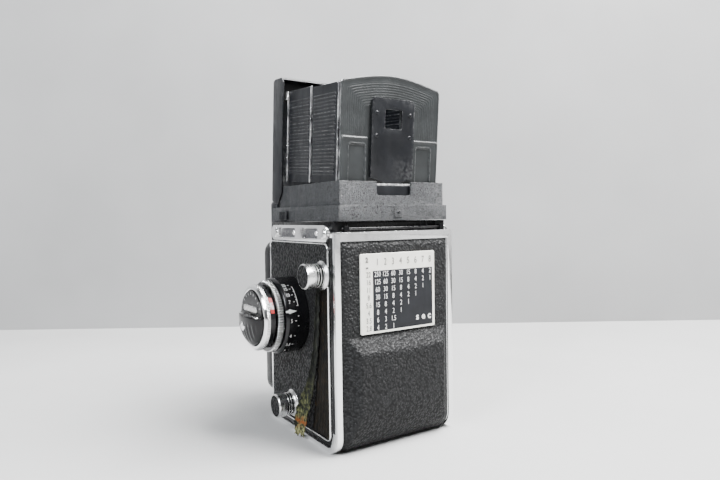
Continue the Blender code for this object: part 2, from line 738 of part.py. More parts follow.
finish("flash_sync_socket", sync, "chrome", front, board_pivot)

# ---- Light meter in front of the hood ----
meter = box((-33.5, -53.6, 116.2), (33.5, -43.3, 138.0), 2.4, "XYZ", 2)
join(meter, box((-30, -44, 118.9), (30, BODY_FRONT - GAP, 124.0)))
cut(meter, box((-28.6, -60, 119.4), (28.6, -52.2, 134.6)))
finish("meter_housing", meter, "hood_black")
cell = box((-28.3, -54.4, 119.7), (28.3, -52.5, 134.3))
finish("meter_cell_window", cell, "glass")

# ---- Hood base: a crinkle-painted frame on the body, with the hood's catch ----
ledge = BASE_LEDGE_W / 2
base_half = BASE_W / 2
base = box((-ledge, BASE_FRONT, BASE_BOTTOM), (ledge, BASE_REAR + 1.6, BASE_LEDGE), 1.0, "Z")
join(base, box((-base_half, BASE_FRONT + 1.8, BASE_LEDGE - 2), (base_half, BASE_REAR, BASE_RIM), 0.8, "Z"))
inner = base_half - BASE_WALL
cut(
    base,
    box((-inner, BASE_FRONT + 3.2, BASE_BOTTOM - 2), (inner, BASE_REAR - 1.0, BASE_RIM + 2)),
    box((-NOTCH_W / 2, BASE_REAR - 6, NOTCH_Z), (NOTCH_W / 2, BASE_REAR + 6, BASE_RIM + 6), 1.5, "Y"),
    box((-50, BASE_FRONT - 5, BASE_LEDGE + 0.4), (50, HOOD_Y - 3.5, BASE_RIM + 5)),
)
join(base, box((-4.6, BASE_REAR + 1.2, 126.6), (1.4, BASE_REAR + 2.1, BASE_LEDGE - 0.2), 0.6, "Y"))
finish("hood_base", base, "crinkle")
catch = box((ledge + GAP, -28.5, 125.6), (ledge + 1.7, -17.5, 130.6), 0.5, "X")
for i in range(5):
    y = -26.0 + 1.5 * i
    cut(catch, box((ledge + 1.2, y - 0.35, 125), (ledge + 3, y + 0.35, 131)))
finish("hood_catch", catch, "black_paint", (ledge, -23, 128))

# ---- Hood: lid, folding side leaves and rear panel, drawn upright about the lid's hinge ----
lid_pivot = pivot("hood_hinge_axis", (0, HOOD_Y, HOOD_Z))
hinge_at = (0, HOOD_Y, HOOD_Z)
lid_half = LID_W / 2
side = [(-LID_OUT, -1.0), (-LID_OUT + 4, -2.6), (-4.3, -2.9), (LID_EDGE, 5.0), (LID_EDGE, LID_TOP - 2.5), (LID_EDGE - 2.5, LID_TOP), (-LID_OUT + 2.5, LID_TOP), (-LID_OUT + 0.7, LID_TOP - 0.7), (-LID_OUT, LID_TOP - 2.5)]
lid = prism("X", -lid_half, lid_half, side)
cut(
    lid,
    box((-lid_half + LID_WALL, -LID_OUT + LID_WALL, -10), (lid_half - LID_WALL, 10, LID_TOP - LID_WALL)),
    box((-FLAP_W / 2 - GAP, -20, FLAP_V[0] - GAP), (FLAP_W / 2 + GAP, 0, FLAP_V[1] + GAP)),
)
knob_v = 60.0
join(lid, rod("Y", (0, knob_v), 2.2, -LID_OUT - 1.6, -LID_OUT + 0.6, 20))
finish("hood_lid", turned_to_hood(lid), "hood_black", hinge_at, lid_pivot)

flap = box(
    (-FLAP_W / 2, -LID_OUT, FLAP_V[0]), (FLAP_W / 2, -LID_OUT + 1.1, FLAP_V[1]), 0.8, "Y"
)
flap_at = in_hood(0, -LID_OUT + 0.6, FLAP_V[0] + 0.6)
finish("sports_finder_flap", turned_to_hood(flap), "hood_black", flap_at, lid_pivot)

mag_u = -8.5
mag_centre = MAGNIFIER_V[0] + MAGNIFIER_R + 1.6
frame = prism(
    "Y", mag_u - 0.8, mag_u + 0.8, rounded(2 * MAGNIFIER_R + 4.4, MAGNIFIER_V[0], MAGNIFIER_V[1], 5.0, 4)
)
cut(frame, rod("Y", (0, mag_centre), MAGNIFIER_R, mag_u - 3, mag_u + 3, 32))
mag_at = in_hood(0, mag_u, MAGNIFIER_V[1] + 0.6)
join(frame, rod("X", (mag_u, MAGNIFIER_V[1] + 0.6), 1.1, -14, 14, 14))
finish("magnifier_frame", turned_to_hood(frame), "hood_black", mag_at, lid_pivot)
glass_r = MAGNIFIER_R - GAP
loupe = lathe(
    "Y",
    (0, mag_centre),
    [(0, mag_u - 1.9), (glass_r * 0.6, mag_u - 1.4), (glass_r, mag_u - 0.5), (glass_r, mag_u + 0.5), (glass_r * 0.6, mag_u + 1.4), (0, mag_u + 1.9)],
    28,
)
finish("magnifier_lens", turned_to_hood(loupe), "glass", mag_at, lid_pivot)

pin_x = LEAF_X + LEAF_T / 2 + 0.15
mid_u = LEAF_START + LEAF_L
end_u = LEAF_START + 2 * LEAF_L
v0, v1 = LEAF_V
for side_name, sign in (("right", 1), ("left", -1)):
    low_x, high_x = sorted((sign * (LEAF_X - LEAF_T / 2), sign * (LEAF_X + LEAF_T / 2)))
    fore = box((low_x, LEAF_START + 0.9, v0), (high_x, mid_u - 0.1, v1))
    for v in np.linspace(v0 + 7, v1 - 7, 4):
        y0, y1 = LEAF_START + 3, mid_u - 3
        join(fore, box((low_x - 0.25, y0, v - 0.5), (high_x + 0.25, y1, v + 0.5)))
    join(fore, rod("Z", (sign * pin_x, mid_u), PIN_R, v0, v1, 12))
    at = in_hood(sign * LEAF_X, LEAF_START, 0)
    finish(side_name + "_front_leaf", turned_to_hood(fore), "hood_black", at, lid_pivot)
    aft = box((low_x, mid_u + PIN_R + 0.45, v0), (high_x, end_u - 0.2, v1 - 1))
    for v in np.linspace(v0 + 7, v1 - 8, 4):
        y0, y1 = mid_u + 3, end_u - 3
        join(aft, box((low_x - 0.25, y0, v - 0.5), (high_x + 0.25, y1, v + 0.5)))
    join(aft, rod("Z", (sign * LEAF_X, end_u), PIN_R, v0, v1 - 1, 12))
    at = in_hood(sign * pin_x, mid_u, 0)
    finish(side_name + "_rear_leaf", turned_to_hood(aft), "hood_black", at, lid_pivot)

panel_half = LEAF_X + LEAF_T / 2
p0, p1 = PANEL_V
arch = [
    (panel_half * math.sin(math.radians(t)), p1 + PANEL_ARCH * math.cos(math.radians(t * 0.98)))
    for t in np.linspace(-90, 90, 13)
]
panel = prism("Y", PANEL_BACK - 1.2, PANEL_BACK, [(-panel_half, p0), *arch, (panel_half, p0)])
for sign in (1, -1):
    low_x, high_x = sorted((sign * (panel_half - 1.0), sign * panel_half))
    join(panel, box((low_x, end_u + PIN_R + 0.35, p0), (high_x, PANEL_BACK - 0.4, p1)))
    low_x, high_x = sorted((sign * 17.5, sign * 27.5))
    cut(panel, box((low_x, PANEL_BACK - 0.6, p0 + 1.5), (high_x, PANEL_BACK + 1, 33.8), 1.0, "Y"))
peep = (42.2, 52.8)
cut(panel, box((-5.7, PANEL_BACK - 5, peep[0]), (5.7, PANEL_BACK + 5, peep[1]), 0.8, "Y"))
panel_at = in_hood(-LEAF_X, end_u, 0)
finish("hood_rear_panel", turned_to_hood(panel), "hood_black", panel_at, lid_pivot)

e0, e1 = EYEPIECE_V
wide = EYEPIECE_W / 2
tongue = wide - 5.0
eye = prism(
    "Y",
    PANEL_BACK + GAP,
    PANEL_BACK + EYEPIECE_OUT,
    [(wide - 1.5, e1), (1.5 - wide, e1), (-wide, e1 - 1.5), (-wide, e0), (-tongue - 1.0, e0 - 1.2), (-tongue + 2, e0 - 2.0), (0, e0 - 4.5), (tongue - 2, e0 - 2.0), (tongue + 1.0, e0 - 1.2), (wide, e0), (wide, e1 - 1.5)],
)
cut(eye, box((-5.7, PANEL_BACK - 5, peep[0]), (5.7, PANEL_BACK + 5, peep[1]), 0.8, "Y"))
for x in (-11.2, 11.2):
    for v in (38.0, 50.3):
        top_y = PANEL_BACK + EYEPIECE_OUT
        join(eye, lathe("Y", (x, v), [(0, top_y - 0.5), (1.0, top_y - 0.5), (1.0, top_y + 0.1), (0, top_y + 0.45)], 12))
finish("eyepiece_plate", turned_to_hood(eye), "hood_black", panel_at, lid_pivot)
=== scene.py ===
"""The looks of a twin lens reflex camera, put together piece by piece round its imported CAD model.

The frame is +Z up, the lenses look along -Y and the focusing knob is on +X. Lengths are in millimetres
until surface() turns them into metres. A point drawn "in the hood" is (x, u, v): u behind the lid's hinge,
v up the lid.
"""

import json
import math

import bmesh
import bpy
import numpy as np
from mathutils import Matrix, Vector

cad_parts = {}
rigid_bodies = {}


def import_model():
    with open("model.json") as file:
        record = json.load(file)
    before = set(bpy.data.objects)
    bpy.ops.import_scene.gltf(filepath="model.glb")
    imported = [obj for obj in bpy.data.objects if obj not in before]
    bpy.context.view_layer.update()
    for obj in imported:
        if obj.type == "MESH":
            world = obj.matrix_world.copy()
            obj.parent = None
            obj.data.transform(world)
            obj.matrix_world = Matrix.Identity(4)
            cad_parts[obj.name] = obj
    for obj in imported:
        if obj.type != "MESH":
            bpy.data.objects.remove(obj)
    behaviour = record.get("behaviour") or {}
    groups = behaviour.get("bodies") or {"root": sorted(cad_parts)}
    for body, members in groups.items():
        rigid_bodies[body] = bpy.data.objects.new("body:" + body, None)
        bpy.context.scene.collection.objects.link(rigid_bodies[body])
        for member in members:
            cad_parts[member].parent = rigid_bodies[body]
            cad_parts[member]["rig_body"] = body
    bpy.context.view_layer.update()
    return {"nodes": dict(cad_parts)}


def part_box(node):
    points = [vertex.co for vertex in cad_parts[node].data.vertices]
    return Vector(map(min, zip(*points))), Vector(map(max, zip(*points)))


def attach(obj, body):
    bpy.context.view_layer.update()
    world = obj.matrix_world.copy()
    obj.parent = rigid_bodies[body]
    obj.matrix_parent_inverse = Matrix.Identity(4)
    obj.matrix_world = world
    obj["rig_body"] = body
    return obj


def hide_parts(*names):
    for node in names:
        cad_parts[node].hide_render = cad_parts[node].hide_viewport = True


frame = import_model()

# ----------------------------------------------------------------------------------------------------
# Body casting and top cover. A die-cast light alloy box, stove enamelled in gloss black over every outer
# face. The enamel has rubbed through to a dull brown-grey along the edges that hands and the case touch.
# ----------------------------------------------------------------------------------------------------
MM = 0.001
nodes = frame["nodes"]


def add(tree, kind, inputs=None, **settings):
    """A node in a tree. Each input is a value or the output of another node."""
    made = tree.nodes.new(kind)
    for key, value in settings.items():
        setattr(made, key, value)
    for key, value in (inputs or {}).items():
        if isinstance(value, bpy.types.NodeSocket):
            tree.links.new(value, made.inputs[key])
        else:
            made.inputs[key].default_value = value
    return made


def math_node(tree, operation, *values, clamp=False):
    """The result of one sum on values or outputs."""
    made = add(tree, "ShaderNodeMath", dict(enumerate(values)), operation=operation, use_clamp=clamp)
    return made.outputs[0]


def ramp(tree, value, low, high, to_low=0.0, to_high=1.0):
    """The value carried from the range low..high to to_low..to_high, and held at its ends."""
    inputs = {"Value": value, "From Min": low, "From Max": high, "To Min": to_low, "To Max": to_high}
    return add(tree, "ShaderNodeMapRange", inputs, clamp=True).outputs["Result"]


def mixed(tree, share, first, second):
    """The first colour or socket turned into the second by share."""
    made = add(tree, "ShaderNodeMix", {"Factor": share}, data_type="RGBA")
    for key, value in ((6, first), (7, second)):
        if isinstance(value, bpy.types.NodeSocket):
            tree.links.new(value, made.inputs[key])
        else:
            made.inputs[key].default_value = (*value, 1.0)
    return made.outputs[2]


def noise(tree, size, detail=3.0, rough=0.55, stretch=(1, 1, 1), warp=0.0):
    """Cloudy noise whose blots are about size millimetres across, on the piece's own coordinates."""
    place = add(tree, "ShaderNodeTexCoord").outputs["Object"]
    sized = add(tree, "ShaderNodeMapping", {"Vector": place, "Scale": stretch}).outputs["Vector"]
    inputs = {
        "Vector": sized, "Scale": 1000.0 / size, "Detail": detail, "Roughness": rough, "Distortion": warp
    }
    return add(tree, "ShaderNodeTexNoise", inputs).outputs[0]


def grained(*place):
    """A height or tone made of noise alone."""
    return lambda tree: noise(tree, *place)


def clouded(first, second, low, high, *place):
    """A colour that goes from the first to the second where the noise goes from low to high."""
    return lambda tree: mixed(tree, ramp(tree, noise(tree, *place), low, high), first, second)


def height_above(tree):
    """The height of each point above the ground, in metres."""
    return add(
        tree, "ShaderNodeSeparateXYZ", {0: add(tree, "ShaderNodeTexCoord").outputs["Object"]}
    ).outputs[2]


def group(name, inputs, outputs):
    """An empty shader node group with named inputs (name, value) and float outputs."""
    tree = bpy.data.node_groups.new(name, "ShaderNodeTree")
    for key, value in inputs:
        socket = tree.interface.new_socket(key, in_out="INPUT", socket_type="NodeSocketFloat")
        socket.default_value = value
    for key in outputs:
        tree.interface.new_socket(key, in_out="OUTPUT", socket_type="NodeSocketFloat")
    return tree, tree.nodes.new("NodeGroupInput").outputs, tree.nodes.new("NodeGroupOutput").inputs


def use(tree, made, **values):
    """A node group placed in a material with its own values, given with _ for each space."""
    placed = tree.nodes.new("ShaderNodeGroup")
    placed.node_tree = made
    for key, value in values.items():
        placed.inputs[key.replace("_", " ")].default_value = value
    return placed.outputs


# The mask of pale edges: paint rubbed through, and on the hood paint also a painted highlight on the bevels.
edge_wear_and_glint, given, out = group("edge wear and glint", [("Reach", 0.4), ("Amount", 1.0), ("Blot", 2.0)], ["Mask"])
reach = math_node(edge_wear_and_glint, "MULTIPLY", given["Reach"], MM)
turned_normal = add(edge_wear_and_glint, "ShaderNodeBevel", {"Radius": reach}, samples=4).outputs[0]
flat_normal = add(edge_wear_and_glint, "ShaderNodeNewGeometry").outputs["True Normal"]
agree = add(edge_wear_and_glint, "ShaderNodeVectorMath", {0: turned_normal, 1: flat_normal}, operation="DOT_PRODUCT")
bend = ramp(edge_wear_and_glint, agree.outputs["Value"], 0.995, 0.86)
place = add(edge_wear_and_glint, "ShaderNodeTexCoord").outputs["Object"]
grains = math_node(edge_wear_and_glint, "DIVIDE", 1000.0, given["Blot"])
blots = add(edge_wear_and_glint, "ShaderNodeTexNoise", {"Vector": place, "Scale": grains, "Detail": 4.0}).outputs[0]
rubbed = math_node(edge_wear_and_glint, "MULTIPLY", bend, ramp(edge_wear_and_glint, blots, 0.42, 0.62))
edge_wear_and_glint.links.new(math_node(edge_wear_and_glint, "MULTIPLY", rubbed, given["Amount"], clamp=True), out["Mask"])

handling, given, out = group("handling marks", [("Dust", 0.3), ("Smears", 0.5)], ["Dust", "Smears"])
specks = ramp(handling, noise(handling, 0.5, 2.0, 0.6), 0.66, 0.78)
haze = ramp(handling, noise(handling, 14.0, 3.0, 0.6), 0.45, 0.75)
dust = math_node(
    handling,
    "ADD",
    math_node(handling, "MULTIPLY", specks, 0.7),
    math_node(handling, "MULTIPLY", haze, 0.3),
)
handling.links.new(math_node(handling, "MULTIPLY", dust, given["Dust"]), out["Dust"])
smear = ramp(handling, noise(handling, 7.0, 4.0, 0.6, (1, 1, 0.35), 0.6), 0.35, 0.7)
handling.links.new(math_node(handling, "MULTIPLY", smear, given["Smears"]), out["Smears"])


def groove_shaded_metal(centre, crest, valley, bright, dark):
    """Metal round an X axis through centre (millimetres) that is dark below the radius valley and bright at
    crest: painted shade in its grooves.
    """

    def colour(tree):
        place = add(tree, "ShaderNodeTexCoord").outputs["Object"]
        apart = add(
            tree,
            "ShaderNodeVectorMath",
            {0: place, 1: (0, centre[0] * MM, centre[1] * MM)},
            operation="SUBTRACT",
        )
        flat = add(
            tree, "ShaderNodeVectorMath", {0: apart.outputs[0], 1: (0, 1, 1)}, operation="MULTIPLY"
        ).outputs[0]
        radius = add(tree, "ShaderNodeVectorMath", {0: flat}, operation="LENGTH").outputs["Value"]
        tarnish = ramp(tree, noise(tree, 2.0, 4.0), 0.55, 0.72, 0.0, 0.35)
        clean = mixed(tree, tarnish, bright, dark)
        return mixed(tree, ramp(tree, radius, valley * MM, crest * MM), dark, clean)

    return colour


def finish_material(name, colour, rough, metal=0.0, height=None, depth=0.0, coat=0.0, **fixed):
    """A Principled material. colour, rough, metal and height may be values or outputs made by a function of
    the tree.
    """
    made = bpy.data.materials.new(name)
    made.use_nodes = True
    tree = made.node_tree
    shader = tree.nodes["Principled BSDF"]
    for key, value in (
        ("Base Color", colour), ("Roughness", rough), ("Metallic", metal), ("Coat Weight", coat)
    ):
        value = value(tree) if callable(value) else value
        if isinstance(value, bpy.types.NodeSocket):
            tree.links.new(value, shader.inputs[key])
        else:
            shader.inputs[key].default_value = (*value, 1.0) if key == "Base Color" else value
    for key, value in fixed.items():
        shader.inputs[key.replace("_", " ")].default_value = value
    if height:
        inputs = {"Height": height(tree), "Distance": depth * MM, "Strength": 1.0}
        bump = add(tree, "ShaderNodeBump", inputs)
        tree.links.new(bump.outputs[0], shader.inputs["Normal"])
    return made


def painted(base, bare, dust_colour, reach, amount, dust):
    """Paint of one base colour, rubbed to bare along the edges and with dust lying on it. On the hood paint
    the pale edge colour is also a painted highlight on the bevels.
    """

    def colour(tree):
        tone = mixed(
            tree, ramp(tree, noise(tree, 9.0), 0.3, 0.7), base, tuple(1.5 * c + 0.002 for c in base)
        )
        marks = use(tree, handling, Dust=dust, Smears=0.0)
        worn = use(tree, edge_wear_and_glint, Reach=reach, Amount=amount)["Mask"]
        return mixed(tree, worn, mixed(tree, marks["Dust"], tone, dust_colour), bare)

    return colour


def roughened(low, high, smears=1.0):
    """Roughness that goes from low to high where the surface has been handled."""
    return lambda tree: ramp(
        tree, use(tree, handling, Dust=0.0, Smears=smears)["Smears"], 0.0, 1.0, low, high
    )


black_enamel = finish_material(
    "black enamel",
    painted((0.002, 0.002, 0.0023), (0.05, 0.045, 0.04), (0.02, 0.02, 0.02), 0.35, 0.5, 0.12),
    roughened(0.2, 0.42),
    height=grained(1.6, 2.0),
    depth=0.012,
    Specular_IOR_Level=0.2,
)


def shown(name, mesh, material):
    """A new object at the origin with one material, shaded smooth."""
    obj = bpy.data.objects.new(name, mesh)
    bpy.context.scene.collection.objects.link(obj)
    mesh.materials.clear()
    mesh.materials.append(material)
    mesh.shade_smooth()
    return obj


def stands_for(obj, first, *others, slot=None):
    """obj takes the place of CAD nodes and moves with the body of the first."""
    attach(obj, nodes[first]["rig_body"])
    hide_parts(first, *others)
    return obj


def rides_with(obj, node):
    """obj is a detail that moves with a CAD node's body."""
    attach(obj, nodes[node]["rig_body"])
    return obj


def eased_copy(node, material, radius, slot=None, angle=30.0, name=None):
    """The CAD shape of a node with its edges rounded: corners merged, flat faces joined, then a Bevel of
    that radius.
    """
    mesh = nodes[node].data.copy()
    bm = bmesh.new()
    bm.from_mesh(mesh)
    bmesh.ops.remove_doubles(bm, verts=bm.verts, dist=1e-6)
    bmesh.ops.dissolve_limit(bm, angle_limit=math.radians(0.4), verts=bm.verts, edges=bm.edges)
    bm.to_mesh(mesh)
    bm.free()
    obj = shown(name or node + "_finished", mesh, material)
    easing = obj.modifiers.new("eased edges", "BEVEL")
    easing.width = radius * MM
    easing.segments = 3
    easing.limit_method = "ANGLE"
    easing.angle_limit = math.radians(angle)
    easing.harden_normals = True
    return stands_for(obj, node, slot=slot)


eased_copy("body_shell", black_enamel, 0.35, "black_paint")
eased_copy("top_cover", black_enamel, 0.4, "black_paint")

# ----------------------------------------------------------------------------------------------------
# Focusing screen and reflex mirror. A sheet of ground glass lies in the top cover, over a front-silvered
# mirror held at 45 degrees in the upper chamber.
# ----------------------------------------------------------------------------------------------------


def box_mm(node):
    """Lowest and highest corner of a CAD node in millimetres."""
    low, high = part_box(node)
    return np.array(low) / MM, np.array(high) / MM


def middle_of(node, *axes):
    """The middle of a CAD node in millimetres, along the axes given by number."""
    low, high = box_mm(node)
    return ((low + high) / 2)[list(axes)]


ground_glass = finish_material(
    "ground glass",
    clouded((0.62, 0.66, 0.64), (0.74, 0.77, 0.74), 0.4, 0.6, 0.25, 1.0),
    roughened(0.45, 0.6),
    height=grained(0.2, 1.0),
    depth=0.02,
    Transmission_Weight=0.55,
    IOR=1.5,
)
silvering = finish_material("mirror silvering", (0.86, 0.88, 0.88), roughened(0.02, 0.08), 1.0)
eased_copy("focusing_screen", ground_glass, 0.2, "lens_glass")
eased_copy("viewing_mirror", silvering, 0.12, "mirror_glass")


def surface(name, points, material, closed=(False, False), keep=None, caps=False, flip=False):
    """A mesh on a grid of points in millimetres, rows by columns.

    Neighbours in the grid are joined into four-cornered faces, round again in the directions that are
    closed. keep says which faces stay. caps fills the first and the last row. Points that coincide are
    merged into one.
    """
    rows, columns = points.shape[:2]
    index = np.arange(rows * columns).reshape(rows, columns)
    if closed[0]:
        index = np.vstack([index, index[:1]])
    if closed[1]:
        index = np.hstack([index, index[:, :1]])
    corners = [index[:-1, :-1], index[1:, :-1], index[1:, 1:], index[:-1, 1:]]
    faces = np.stack(corners[::-1] if flip else corners, axis=-1)
    faces = faces[keep] if keep is not None else faces.reshape(-1, 4)
    faces = faces.tolist()
    if caps:
        ends = [index[0, :columns][::-1].tolist(), index[-1, :columns].tolist()]
        faces += [end[::-1] for end in ends] if flip else ends
    mesh = bpy.data.meshes.new(name)
    mesh.from_pydata((points.reshape(-1, 3) * MM).tolist(), [], faces)
    bm = bmesh.new()
    bm.from_mesh(mesh)
    bmesh.ops.remove_doubles(bm, verts=bm.verts, dist=2e-7)
    loose = [v for v in bm.verts if not v.link_faces]
    bmesh.ops.delete(bm, geom=loose, context="VERTS")
    if all(len(e.link_faces) == 2 for e in bm.edges):
        bmesh.ops.recalc_face_normals(bm, faces=bm.faces)
    bm.to_mesh(mesh)
    bm.free()
    return shown(name, mesh, material)


def walled(obj, thickness, offset=-1.0):
    """A sheet given a wall: offset -1 puts it behind the sheet's faces."""
    wall = obj.modifiers.new("wall", "SOLIDIFY")
    wall.thickness = thickness * MM
    wall.offset = offset
    return obj


def weighted(obj):
    """Flat faces keep flat shading where they meet small rounded ones, because large faces lead the
    normals.
    """
    obj.modifiers.new("flat faces lead", "WEIGHTED_NORMAL").weight = 90
    return obj


def eased(corners, radius, closed=False, steps=5):
    """Straight runs between corners, with each corner turned into a short curve.

    The curve is the quadratic one that leaves the run a radius before the corner and joins the next run a
    radius after it, or under half of a run that is shorter. An open line keeps its two ends.
    """
    corners = np.array(corners, float)
    before, after = np.roll(corners, 1, axis=0), np.roll(corners, -1, axis=0)
    arrive, leave = before - corners, after - corners
    reach_in = np.linalg.norm(arrive, axis=1, keepdims=True)
    reach_out = np.linalg.norm(leave, axis=1, keepdims=True)
    start = corners + arrive * np.minimum(radius / reach_in, 0.45)
    end = corners + leave * np.minimum(radius / reach_out, 0.45)
    t = np.linspace(0, 1, steps)[None, :, None]
    curve = (1 - t) ** 2 * start[:, None] + 2 * t * (1 - t) * corners[:, None] + t**2 * end[:, None]
    if closed:
        return curve.reshape(-1, 2)
    return np.vstack([corners[:1], curve[1:-1].reshape(-1, 2), corners[-1:]])


def across(axis, along, first, second):
    """Points whose place along an axis and in the two directions across it are given, in X, Y, Z order."""
    parts = list(np.broadcast_arrays(first, second))
    parts.insert("XYZ".index(axis), np.broadcast_to(along, parts[0].shape))
    return np.stack(parts, axis=-1)


def turned(name, axis, centre, profile, material, segments=96, ring=False, knurl=None):
    """A profile of (place along the axis, radius) turned about an axis.

    Every profile point goes round the axis at its radius. A knurl (teeth, depth, from, to) takes depth off
    the radius between its teeth, for the points whose place along the axis is between from and to.
    """
    profile = np.array(profile, float)
    angle = np.linspace(0, 2 * math.pi, segments, endpoint=False)
    along, radius = profile[:, :1], profile[:, 1:]
    if knurl:
        teeth, depth, first, last = knurl
        groove = 0.5 - 0.5 * np.clip(1.7 * np.cos(teeth * angle), -1, 1)
        radius = radius - depth * groove * ((along >= first) & (along <= last) & (radius > 0))
    points = across(axis, along, centre[0] + radius * np.cos(angle), centre[1] + radius * np.sin(angle))
    return weighted(surface(name, points, material, (ring, True)))


# ----------------------------------------------------------------------------------------------------
# Side coverings. Pebbled black leather glued to both sides inside a thin half-round chrome bead. On the
# knob side its rear edge has come away: the glued metal is bare and a curled strip of leather hangs off.
# ----------------------------------------------------------------------------------------------------
pebbled, given, out = group("leather grain", [("Pebble", 0.9)], ["Height", "Hollows"])
grain = math_node(pebbled, "DIVIDE", 1000.0, given["Pebble"])
place = add(pebbled, "ShaderNodeTexCoord").outputs["Object"]
shift = add(pebbled, "ShaderNodeTexNoise", {"Vector": place, "Scale": grain, "Detail": 2.0}).outputs[1]
moved = add(pebbled, "ShaderNodeVectorMath", {0: shift, "Scale": 0.0003}, operation="SCALE").outputs[0]
place = add(pebbled, "ShaderNodeVectorMath", {0: place, 1: moved}, operation="ADD").outputs[0]
cells = add(
    pebbled, "ShaderNodeTexVoronoi", {"Vector": place, "Scale": grain}, feature="SMOOTH_F1"
).outputs[0]
dome = math_node(pebbled, "SUBTRACT", 1.0, ramp(pebbled, cells, 0.12, 0.62))
fine = noise(pebbled, 0.28, 2.0)
pebbled.links.new(
    math_node(pebbled, "ADD", dome, math_node(pebbled, "MULTIPLY", fine, 0.25)), out["Height"]
)
pebbled.links.new(math_node(pebbled, "SUBTRACT", 1.0, dome), out["Hollows"])


def leather_colour(tree):
    """Black leather with lint lying on it, a little greyer on the crowns of the pebbles and darker in their
    hollows as painted shade.
    """
    grain = use(tree, pebbled, Pebble=1.25)
    # Painted shade: the pebbles' hollows are coloured darker than their crowns.
    tone = mixed(tree, grain["Hollows"], (0.006, 0.0063, 0.0068), (0.0008, 0.0008, 0.001))
    lint = use(tree, handling, Dust=0.16, Smears=0.0)["Dust"]
    return mixed(tree, lint, tone, (0.02, 0.02, 0.022))


leather = finish_material(
    "pebbled leather",
    leather_colour,
    lambda tree: ramp(tree, use(tree, pebbled, Pebble=1.25)["Hollows"], 0.0, 1.0, 0.36, 0.8),
    height=lambda tree: use(tree, pebbled, Pebble=1.25)["Height"],
    depth=0.42,
    Specular_IOR_Level=0.25,
)
polished_chrome = finish_material(
    "polished chrome",
    clouded((0.9, 0.9, 0.9), (0.62, 0.6, 0.56), 0.6, 0.72, 2.2, 4.0),
    roughened(0.1, 0.24),
    1.0,
    height=grained(6.0, 2.0),
    depth=0.006,
)
rusty_metal = finish_material(
    "bare glued metal",
    lambda tree: mixed(
        tree,
        ramp(tree, noise(tree, 3.0, 5.0, 0.65), 0.5, 0.68),
        mixed(
            tree,
            ramp(tree, noise(tree, 11.0), 0.4, 0.65),
            (0.0014, 0.0013, 0.0012),
            (0.004, 0.0032, 0.0024),
        ),
        (0.014, 0.010, 0.005),
    ),
    roughened(0.5, 0.8),
    height=grained(1.1, 4.0),
    depth=0.12,
    Specular_IOR_Level=0.12,
)


def peeled_colour(tree):
    """The torn back of the leather: black fibres, green and yellow corrosion lower down, and one patch of
    rust.
    """
    height = height_above(tree)
    blots, fibres = noise(tree, 3.2, 5.0, 0.65), noise(tree, 0.9, 4.0, 0.6, (1, 1, 0.25))
    low = ramp(tree, math_node(tree, "ADD", height, math_node(tree, "MULTIPLY", blots, 0.02)), 0.05, 0.022)
    base = mixed(tree, ramp(tree, fibres, 0.45, 0.7), (0.002, 0.0024, 0.002), (0.018, 0.020, 0.014))
    green = mixed(tree, ramp(tree, fibres, 0.4, 0.62), (0.004, 0.008, 0.005), (0.15, 0.155, 0.065))
    spread = math_node(tree, "MULTIPLY", low, ramp(tree, blots, 0.4, 0.54))
    tone = mixed(tree, spread, base, green)
    near_rust = math_node(tree, "ABSOLUTE", math_node(tree, "SUBTRACT", height, 0.0105))
    rust = math_node(tree, "MULTIPLY", ramp(tree, near_rust, 0.0045, 0.001), ramp(tree, blots, 0.47, 0.56))
    tone = mixed(tree, rust, tone, (0.15, 0.045, 0.010))
    straw = math_node(tree, "MULTIPLY", ramp(tree, height, 0.009, 0.004), ramp(tree, fibres, 0.42, 0.55))
    return mixed(tree, straw, tone, (0.26, 0.25, 0.12))


peeled_back = finish_material(
    "peeled leather back",
    peeled_colour,
    roughened(0.6, 0.85),
    height=grained(0.8, 4.0, 0.6, (1, 1, 0.3)),
    depth=0.25,
    Specular_IOR_Level=0.2,
)


def rounded_outline(low, high, radius, steps=10):
    """The outline of an upright rectangle with quarter-circle corners, as (n, 2) points against the clock.
    """
    (a, c), (b, d) = low, high
    centres = np.array(
        [
            (b - radius, d - radius),
            (a + radius, d - radius),
            (a + radius, c + radius),
            (b - radius, c + radius),
        ],
    )
    turn = np.radians(np.array([0, 90, 180, 270])[:, None] + np.linspace(0, 90, steps)[None, :])
    arc = np.stack([np.cos(turn), np.sin(turn)], axis=-1) * radius
    return (centres[:, None, :] + arc).reshape(-1, 2)


def bead(name, outline, face, out_by, section, material, gap=None, ring=True):
    """A half-round strip laid along an outline on a side wall.

    The section is a half circle: at each outline point it goes from the inner edge, up and over, to the
    outer edge. Points nearer than gap's radius to gap's centre are left out, so the strip stops short of
    the fitting there.
    """
    width, height = section
    along = np.roll(outline, -1, axis=0) - np.roll(outline, 1, axis=0)
    along /= np.linalg.norm(along, axis=1, keepdims=True)
    normal = np.stack([along[:, 1], -along[:, 0]], axis=-1)
    if gap:
        centre, radius = gap
        away = np.linalg.norm(outline - centre, axis=1) > radius
        first = np.flatnonzero(~away)[-1] + 1
        order = np.roll(np.arange(len(outline)), -first)
        order = order[away[order]]
        outline, normal = outline[order], normal[order]
    over = np.linspace(0, math.pi, 9)
    drawn_in = (width / 2 + width / 2 * np.cos(over))[None, :, None]
    middle = outline[:, None, :] - normal[:, None, :] * drawn_in
    rise = np.broadcast_to(face + out_by * height * np.sin(over), middle.shape[:2])
    rows = np.stack([rise, middle[..., 0], middle[..., 1]], axis=-1)
    return surface(name, rows, material, (ring and not gap, True), caps=bool(gap), flip=out_by < 0)


def dense(outline, step=1.0):
    """The closed outline with points added along its long runs, no further apart than step."""
    following = np.roll(outline, -1, axis=0)
    run = np.linalg.norm(following - outline, axis=1)
    t = [np.linspace(0, 1, max(int(np.ceil(r / step)), 1), endpoint=False) for r in run]
    return np.vstack([a + (b - a) * s[:, None] for a, b, s in zip(outline, following, t)])


